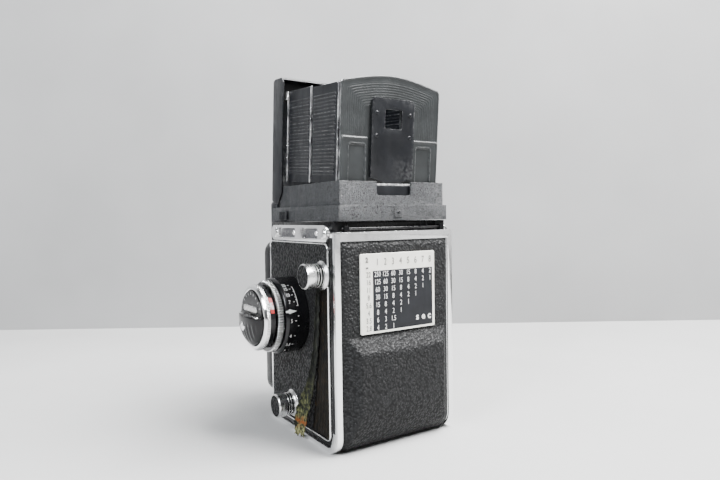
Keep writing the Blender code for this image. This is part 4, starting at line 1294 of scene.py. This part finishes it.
# ----------------------------------------------------------------------------------------------------
# Film crank. A turned chrome boss with a slot for the folding arm, whose knurled grip spins on its end. A
# small glazed window beside it shows the exposure number.
# ----------------------------------------------------------------------------------------------------
eased_copy("crank_hub", satin_chrome, 0.3, "satin_chrome")
eased_copy("crank_arm", polished_chrome, 0.3, "chrome")
grip_low, grip_high = box_mm("crank_grip")
grip_centre = middle_of("crank_grip", 1, 2)
grip_line = [
    (grip_high[0], 0),
    (grip_high[0], 4.0),
    (grip_high[0] - 1.5, 4.4),
    (grip_low[0] + 1.0, 4.4),
    (grip_low[0], 3.6),
    (grip_low[0], 0),
]
grip_span = (grip_low[0] + 1.2, grip_high[0] - 1.7)
grip = turned(
    "knurled_crank_grip",
    "X",
    grip_centre,
    eased(grip_line, 0.4)[::-1],
    satin_chrome,
    256,
    False,
    (32, 0.3, *grip_span),
)
stands_for(grip, "crank_grip", slot="chrome")
boss_cap = slotted_screw(
    "crank_arm_screw",
    "X",
    (crank_centre[0], crank_centre[1] - 1.0),
    -42.2,
    -1,
    2.2,
    polished_chrome,
    0.8,
    0.5,
)
rides_with(boss_cap, "crank_arm")
window_glass = finish_material(
    "clear window",
    clouded((0.85, 0.88, 0.86), (0.78, 0.81, 0.80), 0.3, 0.7, 3.0),
    roughened(0.04, 0.12),
    Transmission_Weight=0.9,
    IOR=1.49,
)
counter_face = box_mm("frame_counter_window")[0][0]
rim_line = [
    (-39.0, 4.7), (-39.0, 5.5), (-40.6, 5.5), (counter_face, 4.9), (counter_face, 4.2), (-39.6, 4.2)
]
counter_rim = turned(
    "counter_window_rim", "X", counter_centre, eased(rim_line, 0.2, True)[::-1], polished_chrome, 72, True
)
stands_for(counter_rim, "frame_counter_window", slot="chrome")
glass_line = eased([(-38.95, 0), (-38.95, 4.25), (-40.1, 4.25), (-40.5, 2.5), (-40.6, 0)], 0.3)[::-1]
rides_with(
    turned("counter_window_glass", "X", counter_centre, glass_line, window_glass, 64),
    "frame_counter_window",
)
counter_figure = lettering(
    "counter_figure",
    [("7", 0, 0, 3.4)],
    "white",
    lambda flat: np.stack(
        [np.full(len(flat), -40.66), counter_centre[0] - flat[:, 0], counter_centre[1] + flat[:, 1]],
        axis=-1,
    ),
    0.02,
)
rides_with(counter_figure, "frame_counter_window")

# ----------------------------------------------------------------------------------------------------
# Lens standard. The board that slides out to focus: enamelled edge, leather front, and the chrome mounts of
# the viewing lens above and the taking lens below, each with a bayonet rim and a black ribbed throat.
# ----------------------------------------------------------------------------------------------------
eased_copy("lens_board", black_enamel, 0.4, "leatherette")
board_low, board_high = box_mm("lens_board")
take_reach = box_mm("taking_lens_mount")[0][1]
view_reach = box_mm("viewing_lens_mount")[0][1]
take_centre = middle_of("taking_lens_mount", 0, 2)
view_centre = middle_of("viewing_lens_mount", 0, 2)
board_face = board_low[1]
release_centre = (24.0, 27.0)
front_line = dense(rounded_outline(board_low[[0, 2]] + 2.2, board_high[[0, 2]] - 2.2, 6.0, 8), 1.2)
share = np.linspace(0, 1, 44)[:, None, None]
front_middle = front_line.mean(axis=0)
front_points = front_middle + (front_line[None] - front_middle) * (1 - share)
skin_dip = 0.2 * np.exp(-share[..., 0] / 0.03)
front_sheet = across("Y", board_face - 0.24 + skin_dip, front_points[..., 0], front_points[..., 1])
centres = (front_points[:-1] + front_points[1:]) / 2
clear = np.ones(centres.shape[:2], bool)
for middle, radius in ((take_centre, 15.8), (view_centre, 11.0), (release_centre, 4.6)):
    clear &= np.linalg.norm(centres - middle, axis=-1) > radius
front_skin = surface("front_leather", front_sheet, leather, (False, True), keep=clear)
rides_with(front_skin, "lens_board")
throat_black = finish_material(
    "matt throat black",
    painted((0.010, 0.010, 0.011), (0.05, 0.05, 0.05), (0.08, 0.08, 0.08), 0.2, 0.3, 0.1),
    roughened(0.45, 0.6),
    height=grained(0.5, 2.0),
    depth=0.01,
)


def coated(name, tint, sheen):
    """Lens glass with a coating: clear, with a faint colour that grows towards grazing angles."""

    def colour(tree):
        graze = add(tree, "ShaderNodeLayerWeight", {"Blend": 0.35}).outputs["Facing"]
        return mixed(tree, graze, tint, sheen)

    return finish_material(name, colour, roughened(0.01, 0.05), Transmission_Weight=0.85, IOR=1.6)


def in_throat(centre, radius_at, around, depth_at):
    """A function that lays flat points in a lens's sloping throat: across runs round it, up runs outwards.
    """

    def place(flat):
        angle = around - flat[:, 0] / radius_at
        radius = radius_at + flat[:, 1]
        y = depth_at(radius)
        return np.stack(
            [centre[0] + radius * np.cos(angle), y, centre[1] + radius * np.sin(angle)], axis=-1
        )

    return place


def throat_depth(reach, body, throat):
    """The place along Y of the throat's steps, as a function of the radius."""
    return lambda radius: reach + 1.25 + 3.2 * (body - 1.7 - radius) / (body - 2.2 - throat)


blue_coating = coated("blue coated glass", (0.42, 0.50, 0.72), (0.35, 0.25, 0.62))
amber_coating = coated("amber coated glass", (0.70, 0.60, 0.46), (0.52, 0.40, 0.62))
for mount, centre, throat, neck, flange, reach, glass, widest, print_in in (
    ("taking_lens", take_centre, 9.6, 14.4, 21.5, take_reach, blue_coating, "3.5", 2.6),
    ("viewing_lens", view_centre, 8.3, 9.3, 18.0, view_reach, amber_coating, "2.8", 2.0),
):
    body = neck + 3.6
    mount_line = [
        (-55.0, throat),
        (-55.0, neck),
        (-58.3, neck),
        (-58.3, flange),
        (-60.3, flange),
        (-60.6, flange - 1.0),
    ]
    mount_line += [
        (-61.1, body + 0.8),
        (-61.3, body),
        (reach + 2.0, body),
        (reach + 1.7, body - 0.4),
        (reach + 1.2, body),
    ]
    mount_line += [
        (reach, body),
        (reach, body - 1.2),
        (reach + 1.4, body - 1.6),
        (reach + 4.6, throat + 0.3),
        (-56.0, throat + 0.3),
    ]
    barrel = turned(
        mount + "_barrel",
        "Y",
        centre,
        eased(mount_line, 0.28, True),
        polished_chrome,
        360,
        True,
        (90, 0.3, -60.4, -58.5),
    )
    stands_for(barrel, mount + "_mount", slot="chrome")
    steps = np.arange(14)
    ledge = np.repeat(steps[:7] / 7.0, 2)[1:]
    rise = np.repeat(steps[:7] / 7.0, 2)[:-1]
    throat_line = np.stack([reach + 1.5 + 3.2 * ledge, body - 1.7 - (body - 2.2 - throat) * rise], axis=-1)
    throat_line = np.vstack(
        [throat_line, [(reach + 5.2, throat + 0.1), (reach + 5.6, body - 2.6), (reach + 2.2, body - 1.6)]]
    )
    rides_with(
        turned(mount + "_throat", "Y", centre, throat_line, throat_black, 128, True),
        mount + "_mount",
    )
    lens_low, lens_high = box_mm(mount)
    lens_radius = (lens_high - lens_low)[0] / 2
    turn = np.linspace(0, math.pi / 2, 16)
    lens_line = np.stack([lens_low[1] + 1.6 - 1.6 * np.cos(turn), lens_radius * np.sin(turn)], axis=-1)
    lens_line = np.vstack(
        [
            lens_line,
            [(lens_high[1] - 0.4, lens_radius), (lens_high[1], lens_radius - 0.6), (lens_high[1] - 0.3, 0)],
        ],
    )
    stands_for(turned(mount + "_glass", "Y", centre, lens_line, glass, 96), mount, slot="lens_glass")
    lobes = np.linspace(0, 2 * math.pi, 240)[None, :-1]
    lug = np.clip(np.cos(3 * lobes) * 6 - 4, 0, 1)
    lug_radius = np.array([body - 0.1, body + 0.9, body + 0.9, body - 0.1])[:, None]
    lug_radius = body - 0.15 + (lug_radius - body + 0.15) * lug
    lug_along = np.array([reach + 2.2, reach + 2.4, reach + 3.2, reach + 3.4])[:, None]
    lug_rows = across(
        "Y", lug_along, centre[0] + lug_radius * np.cos(lobes), centre[1] + lug_radius * np.sin(lobes)
    )
    rides_with(
        surface(mount + "_bayonet", lug_rows, polished_chrome, (False, True), flip=True),
        mount + "_mount",
    )
    depth_at = throat_depth(reach, body, throat)
    for index, text in enumerate(("1", ":", widest, " ", "75", "m", "m")):
        if text == " ":
            continue
        around = math.radians(128 - 15 * index * 14.0 / body)
        placed = in_throat(centre, body - print_in, around, depth_at)
        figure = lettering(f"{mount}_ring_mark_{index}", [(text, 0, 0, 1.3)], "white", placed, 0.01)
        rides_with(figure, mount + "_mount")
eased_copy("leaf_shutter", steel, 0.2, "steel")
blade_turn = np.linspace(0, 2 * math.pi, 161)[None, :-1]
blade_ring = np.linspace(0, 1, 12)[:, None]
blade_step = np.mod(blade_turn * 5 / (2 * math.pi) + blade_ring * 0.9, 1.0) * 0.35
blades = across(
    "Y",
    -50.0 - blade_step * (blade_ring > 0),
    8.45 * blade_ring * np.cos(blade_turn),
    take_centre[1] + 8.45 * blade_ring * np.sin(blade_turn),
)
rides_with(surface("shutter_blades", blades, steel, (False, True)), "leaf_shutter")
for wheel in ("aperture_wheel", "shutter_speed_wheel"):
    centre = middle_of(wheel, 0, 2)
    wheel_line = [
        (-58.3, 0),
        (-58.3, 3.0),
        (-59.2, 3.0),
        (-59.2, 5.6),
        (-63.6, 5.6),
        (-63.6, 4.6),
        (-63.2, 4.2),
        (-63.2, 0),
    ]
    made = turned(
        wheel + "_knurled",
        "Y",
        centre,
        eased(wheel_line, 0.3),
        satin_chrome,
        288,
        False,
        (24, 0.45, -63.3, -59.4),
    )
    stands_for(made, wheel, slot="satin_chrome")
    cap = slotted_screw(wheel + "_cap", "Y", centre, -63.2, -1, 2.4, polished_chrome, 0.4, 0.4)
    rides_with(cap, wheel)
eased_copy("release_button", polished_chrome, 0.35, "chrome")
collar_line = eased([(-57.8, 4.2), (-57.8, 6.0), (-59.0, 6.0), (-59.6, 5.2), (-59.6, 4.2)], 0.25, True)
collar = turned("release_button_collar", "Y", release_centre, collar_line, polished_chrome, 96, True)
rides_with(collar, "lens_board")
eased_copy("self_timer_lever", satin_chrome, 0.25, "satin_chrome")
eased_copy("flash_sync_socket", polished_chrome, 0.25, "chrome")
sync_centre = middle_of("flash_sync_socket", 0, 2)
sync_line = eased([(-58.4, 0), (-58.4, 1.3), (-60.2, 1.3), (-60.2, 0.6), (-60.9, 0.5), (-60.9, 0)], 0.15)
rides_with(
    turned("flash_sync_core", "Y", sync_centre, sync_line, black_plastic, 32),
    "flash_sync_socket",
)

# ----------------------------------------------------------------------------------------------------
# Light meter. A black housing across the front of the hood. Its window is a moulded comb of small lenses in
# front of the selenium cell.
# ----------------------------------------------------------------------------------------------------
hood_colour = (0.0026, 0.003, 0.0042)
# Its pale edge colour is partly paint rubbed through and partly a painted highlight where the bevels catch
# the light.
hood_black = finish_material(
    "blue-black hood paint",
    painted(hood_colour, (0.22, 0.22, 0.22), (0.010, 0.011, 0.013), 0.22, 0.7, 0.1),
    roughened(0.3, 0.5),
    height=grained(0.45, 3.0),
    depth=0.018,
    Specular_IOR_Level=0.26,
)
# A lighter copy of the hood paint: the lighter grey is a painted sheen.
panel_sheen_paint = finish_material(
    "grey-black panel paint with painted sheen",
    painted((0.011, 0.0125, 0.013), (0.16, 0.165, 0.165), (0.03, 0.032, 0.034), 0.24, 0.6, 0.15),
    roughened(0.34, 0.5),
    height=grained(0.45, 3.0),
    depth=0.018,
    Specular_IOR_Level=0.4,
)
eased_copy("meter_housing", hood_black, 0.3, "hood_black")
cell_low, cell_high = box_mm("meter_cell_window")
cell_x = np.linspace(cell_low[0], cell_high[0], 280)[None, :]
cell_z = np.linspace(cell_low[2], cell_high[2], 76)[:, None]
pitch = 2.8
stagger = np.mod(np.floor((cell_z - cell_low[2]) / (pitch * 0.87)), 2) * pitch / 2
local_x = np.mod(cell_x + stagger, pitch) - pitch / 2
local_z = np.mod(cell_z - cell_low[2], pitch * 0.87) - pitch * 0.435
comb = np.clip(0.55 - 0.26 * (local_x**2 + local_z**2), 0, None)
cell_points = across(
    "Y", cell_low[1] + 0.6 - comb, np.broadcast_to(cell_x, comb.shape), np.broadcast_to(cell_z, comb.shape)
)
cell_glass = finish_material(
    "moulded cell window",
    clouded((0.55, 0.60, 0.62), (0.42, 0.46, 0.50), 0.3, 0.7, 4.0),
    roughened(0.06, 0.16),
    Transmission_Weight=0.6,
    IOR=1.49,
)
stands_for(
    walled(surface("meter_cell_lenses", cell_points, cell_glass, flip=True), 0.9),
    "meter_cell_window",
    slot="clear_glass",
)

# ----------------------------------------------------------------------------------------------------
# Hood base. A light alloy frame in crinkle paint, screwed to the top cover. It has a notch behind the
# eyepiece plate's tongue with a dark wall inside it, a small screwed tab, and the lid's catch on one side.
# ----------------------------------------------------------------------------------------------------
crinkled, given, out = group("crinkle paint", [("Wrinkle", 0.55)], ["Height", "Tone"])
grain = math_node(crinkled, "DIVIDE", 1000.0, given["Wrinkle"])
place = add(crinkled, "ShaderNodeTexCoord").outputs["Object"]
wrinkles = add(
    crinkled, "ShaderNodeTexNoise", {"Vector": place, "Scale": grain, "Detail": 3.0, "Distortion": 1.2}
).outputs[0]
folds = math_node(crinkled, "ABSOLUTE", math_node(crinkled, "SUBTRACT", wrinkles, 0.5))
ridge = ramp(crinkled, folds, 0.0, 0.14, 1.0, 0.0)
crinkled.links.new(ridge, out["Height"])
# Tone: partly random, partly a painted highlight where the wrinkles stand up.
crinkled.links.new(ramp(crinkled, math_node(crinkled, "ADD", ridge, wrinkles), 0.5, 1.3), out["Tone"])


def crinkle_colour(tree):
    """Grey-black paint, lighter along its wrinkles partly at random and partly as a painted highlight on
    their crests, with dust in it and a rubbed edge.
    """
    tone = use(tree, crinkled, Wrinkle=1.1)["Tone"]
    base = mixed(tree, tone, (0.0015, 0.0016, 0.002), (0.031, 0.033, 0.036))
    dusty = mixed(tree, use(tree, handling, Dust=0.2, Smears=0.0)["Dust"], base, (0.06, 0.06, 0.06))
    return mixed(tree, use(tree, edge_wear_and_glint, Reach=0.3, Amount=0.45)["Mask"], dusty, (0.3, 0.3, 0.3))


crinkle = finish_material(
    "crinkle paint",
    crinkle_colour,
    roughened(0.42, 0.6),
    height=lambda tree: use(tree, crinkled, Wrinkle=1.1)["Height"],
    depth=0.3,
    Specular_IOR_Level=0.35,
)
eased_copy("hood_base", crinkle, 0.35, "crinkle_paint")
base_rear = box_mm("hood_base")[1][1]
baffle_x = np.linspace(-14.5, 14.5, 12)[None, :]
baffle_z = np.linspace(128.0, 145.0, 10)[:, None]
baffle = across(
    "Y", 37.6 - 0.04 * (baffle_z - 136.0) + 0 * baffle_x, *np.broadcast_arrays(baffle_x, baffle_z)
)
rides_with(
    walled(surface("notch_inner_wall", baffle, hood_black, flip=True), 0.6), "hood_base"
)
tab_screw = slotted_screw(
    "base_tab_screw", "Y", (-1.6, 129.2), base_rear - 0.05, 1, 1.0, hood_black, 0.6, 0.35
)
rides_with(tab_screw, "hood_base")
eased_copy("hood_catch", hood_black, 0.18, "black_paint")

# ----------------------------------------------------------------------------------------------------
# Folding hood. The lid carries the side leaves, the rear panel, the sports finder flap and the magnifier.
# All are pressed sheet. The leaves are ribbed and blue-black, the rear panel is ridged and painted greyer as
# a painted sheen.
# ----------------------------------------------------------------------------------------------------
LEAN = math.radians(4.5)
hinge_y, hinge_z = -29.0, 138.0


def in_hood(points):
    """Points drawn about the lid's hinge, turned back by the lean and put in place."""
    x, u, v = points[..., 0], points[..., 1], points[..., 2]
    y = hinge_y + u * math.cos(LEAN) + v * math.sin(LEAN)
    return np.stack([x, y, hinge_z + v * math.cos(LEAN) - u * math.sin(LEAN)], axis=-1)


def hinge_barrel(name, x, u, radius, low_v, high_v, material, knuckles=9):
    """A rolled hinge: a tube up the hood whose radius dips where one knuckle ends and the next starts."""
    v = np.linspace(low_v, high_v, 260)[:, None]
    angle = np.linspace(0, 2 * math.pi, 20, endpoint=False)[None, :]
    from_joint = np.abs(np.mod((v - low_v) / (high_v - low_v) * knuckles + 0.5, 1.0) - 0.5)
    at = radius - 0.12 * np.exp(-((from_joint / 0.02) ** 2)) * ((v > low_v + 1) & (v < high_v - 1))
    at[0] = at[-1] = radius * 0.8
    points = np.stack(np.broadcast_arrays(x + at * np.cos(angle), u + at * np.sin(angle), v), axis=-1)
    return surface(name, in_hood(points), material, (False, True), caps=True)


def ribbed_leaf(name, sign, low_u, high_u, low_v, high_v, node):
    """A pressed leaf: a flat sheet with horizontal half-round ribs, two millimetres apart, between plain
    borders.

    A rib's height is a rounded half wave up the sheet. It rises and falls over half a millimetre at its
    ends. The sheet's top rear corner is cut round.
    """
    ends = np.array([0, 0.6, 1.2, 1.7, 1.9, 2.1, 2.3, 2.5, 2.9])
    u = np.concatenate(
        [low_u + ends, np.linspace(low_u + 3.6, high_u - 3.6, 16), high_u - ends[::-1]]
    )[None, :]
    v = np.linspace(low_v, high_v, 290)[:, None]
    inside = np.clip((np.minimum(u - low_u, high_u - u) - 1.7) / 0.6, 0, 1)
    wave = np.abs(np.sin(math.pi * (v - 16.0) / 2.0)) ** 0.75
    rib = 0.46 * wave * inside * ((v > 16.0) & (v < 60.0))
    corner_cut = 2.2 - np.sqrt(np.clip(4.84 - np.clip(u - (high_u - 2.2), 0, None) ** 2, 0, None))
    top = high_v - corner_cut
    v = low_v + (v - low_v) * np.where(v > 60.0, (top - low_v) / (high_v - low_v), 1.0)
    x = sign * (leaf_x + 0.35 + rib)
    points = in_hood(np.stack(np.broadcast_arrays(x, u, v), axis=-1))
    return stands_for(
        walled(surface(name, points, hood_black, flip=sign > 0), 0.6), node, slot="hood_black"
    )


leaf_x = 32.8
mid_u, end_u = 31.3, 61.1
bright_edge = finish_material(
    "rubbed hinge metal",
    clouded((0.62, 0.62, 0.62), (0.12, 0.12, 0.13), 0.42, 0.6, 2.5, 4.0, 0.6, (1, 1, 0.3)),
    roughened(0.22, 0.4),
    0.9,
    height=grained(0.7, 2.0),
    depth=0.01,
)
for side_name, sign in (("right", 1), ("left", -1)):
    front, rear = side_name + "_front_leaf", side_name + "_rear_leaf"
    ribbed_leaf(front + "_ribbed", sign, 2.4, 31.0, 11.5, 66.0, front)
    ribbed_leaf(rear + "_ribbed", sign, 32.3, 60.6, 11.5, 65.0, rear)
    mid_x = sign * (leaf_x + 0.55)
    rides_with(
        hinge_barrel(side_name + "_middle_hinge", mid_x, mid_u, 0.6, 11.5, 66.0, bright_edge),
        front,
    )
    rides_with(
        hinge_barrel(side_name + "_rear_hinge", sign * leaf_x, end_u, 0.6, 11.5, 65.0, bright_edge),
        rear,
    )
    rides_with(
        hinge_barrel(
            side_name + "_front_hinge", sign * (leaf_x + 0.6), 1.5, 0.55, 11.5, 64.0, bright_edge, 7
        ),
        "hood_lid",
    )
    fold = np.array([(0.0, 62.0), (0.42, 62.2), (0.42, 63.2), (0.0, 63.4)])
    v = np.linspace(12.6, 65.6, 30)[:, None]
    flange_x = sign * (leaf_x - 0.5 + fold[None, :, 0])
    lip = in_hood(np.stack(np.broadcast_arrays(flange_x, fold[None, :, 1], v), axis=-1))
    rides_with(
        walled(surface(side_name + "_panel_lip", lip, bright_edge, flip=sign > 0), 0.3),
        "hood_rear_panel",
    )

PANEL_HALF = 33.2
panel_u = 64.4
arch_rise = 5.0
step_v = 36.2


def rear_panel():
    """The pressed rear panel, as a height on a grid of across and up, with the peephole left open.

    The top edge is an arch. Above the step the height is a rounded rim and then a row of fine ridges that
    follow the distance from the edge. The step is a rounded bar. Below it, each side has a sunk panel with
    round corners.
    """
    low_v, flat_top = 12.5, 60.0
    x = np.unique(
        np.round(np.concatenate([np.linspace(-PANEL_HALF, PANEL_HALF, 206), [-5.7, 5.7]]), 3)
    )[None, :]
    top = 66.0 + arch_rise * np.cos(np.clip(np.abs(x) / PANEL_HALF, 0, 1) * math.pi / 2) ** 1.15
    top = top - 1.6 * np.clip((np.abs(x) - (PANEL_HALF - 1.8)) / 1.8, 0, 1) ** 2
    lower = np.unique(
        np.round(np.concatenate([np.arange(low_v, flat_top, 0.33), [42.2, 52.8, flat_top]]), 3)
    )[:, None]
    upper = np.linspace(0, 1, 34)[1:, None]
    v = np.vstack([np.broadcast_to(lower, (len(lower), x.shape[1])), flat_top + upper * (top - flat_top)])
    from_edge = smooth_least(PANEL_HALF - np.abs(x), (top - v) * 0.96, softness=0.7)
    rim = 0.32 * np.exp(-(((from_edge - 0.7) / 0.55) ** 2))
    ridged = np.clip((from_edge - 3.2) / 0.4, 0, 1) * np.clip((16.0 - from_edge) / 0.4, 0, 1)
    ridged = ridged * np.clip((v - 37.6) / 0.5, 0, 1)
    ridges = 0.17 * (0.5 + 0.5 * np.cos(2 * math.pi * (from_edge - 3.2) / 1.3)) * ridged
    outside = np.clip((np.abs(x) - 15.4) / 0.4, 0, 1)
    bar = 0.55 * np.exp(-(((v - step_v) / 0.62) ** 2)) * outside * np.clip((32.6 - np.abs(x)) / 0.4, 0, 1)
    below = np.clip((step_v - v) / 0.6, 0, 1)
    frame_height = 0.22 * below * outside
    side_v = np.hypot(np.clip(np.abs(np.abs(x) - 22.5) - 3.8, 0, None), np.clip(v - 31.6, 0, None))
    sunk = 1 / (1 + np.exp((side_v - 1.3) / 0.13))
    groove = 0.30 * np.exp(-(((side_v - 1.7) / 0.35) ** 2)) * below
    height = rim + ridges + bar + frame_height - 0.6 * sunk * below + groove
    points = in_hood(np.stack(np.broadcast_arrays(x, panel_u - 0.35 + height, v), axis=-1))
    middle_x = (np.broadcast_to(x, v.shape)[:-1, :-1] + np.broadcast_to(x, v.shape)[1:, 1:]) / 2
    middle_v = (v[:-1, :-1] + v[1:, 1:]) / 2
    keep = ~((np.abs(middle_x) < 5.7) & (middle_v > 42.2) & (middle_v < 52.8))
    return walled(surface("pressed_rear_panel", points, panel_sheen_paint, keep=keep), 0.75)


stands_for(rear_panel(), "hood_rear_panel", slot="hood_black")
eased_copy("eyepiece_plate", hood_black, 0.22, "hood_black", angle=25.0)
for number, (x, v) in enumerate(((-11.2, 38.0), (11.2, 38.0), (-11.2, 50.3), (11.2, 50.3))):
    ring = np.linspace(0, 1, 10)[:, None]
    angle = np.linspace(0, 2 * math.pi, 32, endpoint=False)[None, :]
    dome_u = 65.8 + 0.62 * np.sqrt(np.clip(1 - ring**2, 0, None)) + 0 * angle
    head = np.stack([x + 1.15 * ring * np.cos(angle), dome_u, v + 1.15 * ring * np.sin(angle)], axis=-1)
    rides_with(
        surface(f"eyepiece_rivet_{number}", in_hood(head), hood_black, (False, True), flip=True),
        "eyepiece_plate",
    )
eased_copy("hood_lid", hood_black, 0.4, "hood_black")
eased_copy("sports_finder_flap", hood_black, 0.25, "hood_black")
eased_copy("magnifier_frame", hood_black, 0.25, "hood_black")
eased_copy("magnifier_lens", window_glass, 0.12, "lens_glass")
tab_outline = rounded_outline((-0.8, 61.0), (3.4, 66.0), 0.6, 4)
tab_points = np.stack(
    [np.stack(np.broadcast_arrays(x, tab_outline[:, 0], tab_outline[:, 1]), axis=-1) for x in (34.1, 34.6)]
)
rides_with(
    surface("lid_spring_tab", in_hood(tab_points), satin_chrome, (False, True), caps=True),
    "hood_lid",
)

# ----------------------------------------------------------------------------------------------------
# Table top, backdrop, soft light and the camera. The backdrop is clear from behind, for views from there.
# ----------------------------------------------------------------------------------------------------
YAW, PITCH, ROLL = math.radians(212.73), math.radians(-2.26), math.radians(-0.82)
ahead = Vector((math.cos(PITCH) * math.sin(YAW), math.cos(PITCH) * math.cos(YAW), math.sin(PITCH)))
flat_right = ahead.cross(Vector((0, 0, 1))).normalized()
flat_up = flat_right.cross(ahead)
right = math.cos(ROLL) * flat_right + math.sin(ROLL) * flat_up
up = math.cos(ROLL) * flat_up - math.sin(ROLL) * flat_right
lens_place = Vector((0.18972, 0.29919, 0.12652))
camera = bpy.data.objects.new("camera", bpy.data.cameras.new("camera"))
bpy.context.scene.collection.objects.link(camera)
camera.matrix_world = Matrix.Translation(lens_place) @ Matrix((right, up, -ahead)).transposed().to_4x4()
camera.data.lens = 28.809
camera.data.sensor_width = 36.0
camera.data.clip_start = 0.01
bpy.context.scene.camera = camera


def backdrop_colour(light, dark):
    """Plain cloth of two close tones in wide soft clouds."""
    return clouded(light, dark, 0.3, 0.7, 160.0, 3.0)


table_tones = backdrop_colour((0.36, 0.36, 0.358), (0.33, 0.33, 0.328))
table_cloth = finish_material("pale table top", table_tones, 0.9, height=grained(1.2, 3.0), depth=0.15)
wall_cloth = finish_material("pale backdrop", backdrop_colour((0.28, 0.28, 0.28), (0.24, 0.24, 0.24)), 0.95)
tree = wall_cloth.node_tree
clear = add(tree, "ShaderNodeBsdfTransparent").outputs[0]
behind = add(tree, "ShaderNodeNewGeometry").outputs["Backfacing"]
solid = tree.nodes["Principled BSDF"].outputs[0]
either = tree.nodes.new("ShaderNodeMixShader")
tree.links.new(behind, either.inputs[0])
tree.links.new(solid, either.inputs[1])
tree.links.new(clear, either.inputs[2])
tree.links.new(either.outputs[0], tree.nodes["Material Output"].inputs["Surface"])
level = Vector((math.sin(YAW), math.cos(YAW), 0))
WALL_AWAY, WALL_WIDE, WALL_HIGH = 673.0, 2400.0, 1500.0
foot = np.array(lens_place) / MM + np.array(level) * WALL_AWAY
foot[2] = 0.0
wide = np.linspace(-WALL_WIDE / 2, WALL_WIDE / 2, 12)[None, :, None] * np.array(flat_right)
tall = np.linspace(0, WALL_HIGH, 8)[:, None, None] * np.array((0, 0, 1))
wall = surface("backdrop", foot + wide + tall, wall_cloth, flip=True)
span = np.linspace(-3000, 3000, 24)
floor_points = across("Z", -0.02, *np.meshgrid(span, span))
floor = surface("table_top", floor_points, table_cloth)


def soft_light(name, place, target, size, power, colour=(1, 1, 1)):
    """A square soft light at a place in metres, turned to its target."""
    light = bpy.data.lights.new(name, "AREA")
    light.shape, light.size, light.energy, light.color = "SQUARE", size, power, colour
    obj = bpy.data.objects.new(name, light)
    bpy.context.scene.collection.objects.link(obj)
    obj.location = place
    obj.rotation_euler = (Vector(target) - Vector(place)).to_track_quat("-Z", "Y").to_euler()
    return obj


middle_of_object = (0.0, 0.0, 0.1)
soft_light("overhead softbox", (-0.38, 0.42, 1.05), middle_of_object, 0.62, 80.0)
soft_light("window side", (1.0, 0.3, 0.75), middle_of_object, 0.4, 30.0, (0.93, 0.96, 1.0))
soft_light("white card behind", (-1.2, 2.2, 0.45), middle_of_object, 1.4, 7.0)
soft_light("backdrop light", (-0.35, 0.1, 1.3), foot * MM + np.array((0, 0, 0.6)), 0.6, 26.0)
world = bpy.data.worlds.new("pale studio")
bpy.context.scene.world = world
world.use_nodes = True
world.node_tree.nodes["Background"].inputs["Color"].default_value = (0.80, 0.81, 0.82, 1.0)
world.node_tree.nodes["Background"].inputs["Strength"].default_value = 0.17
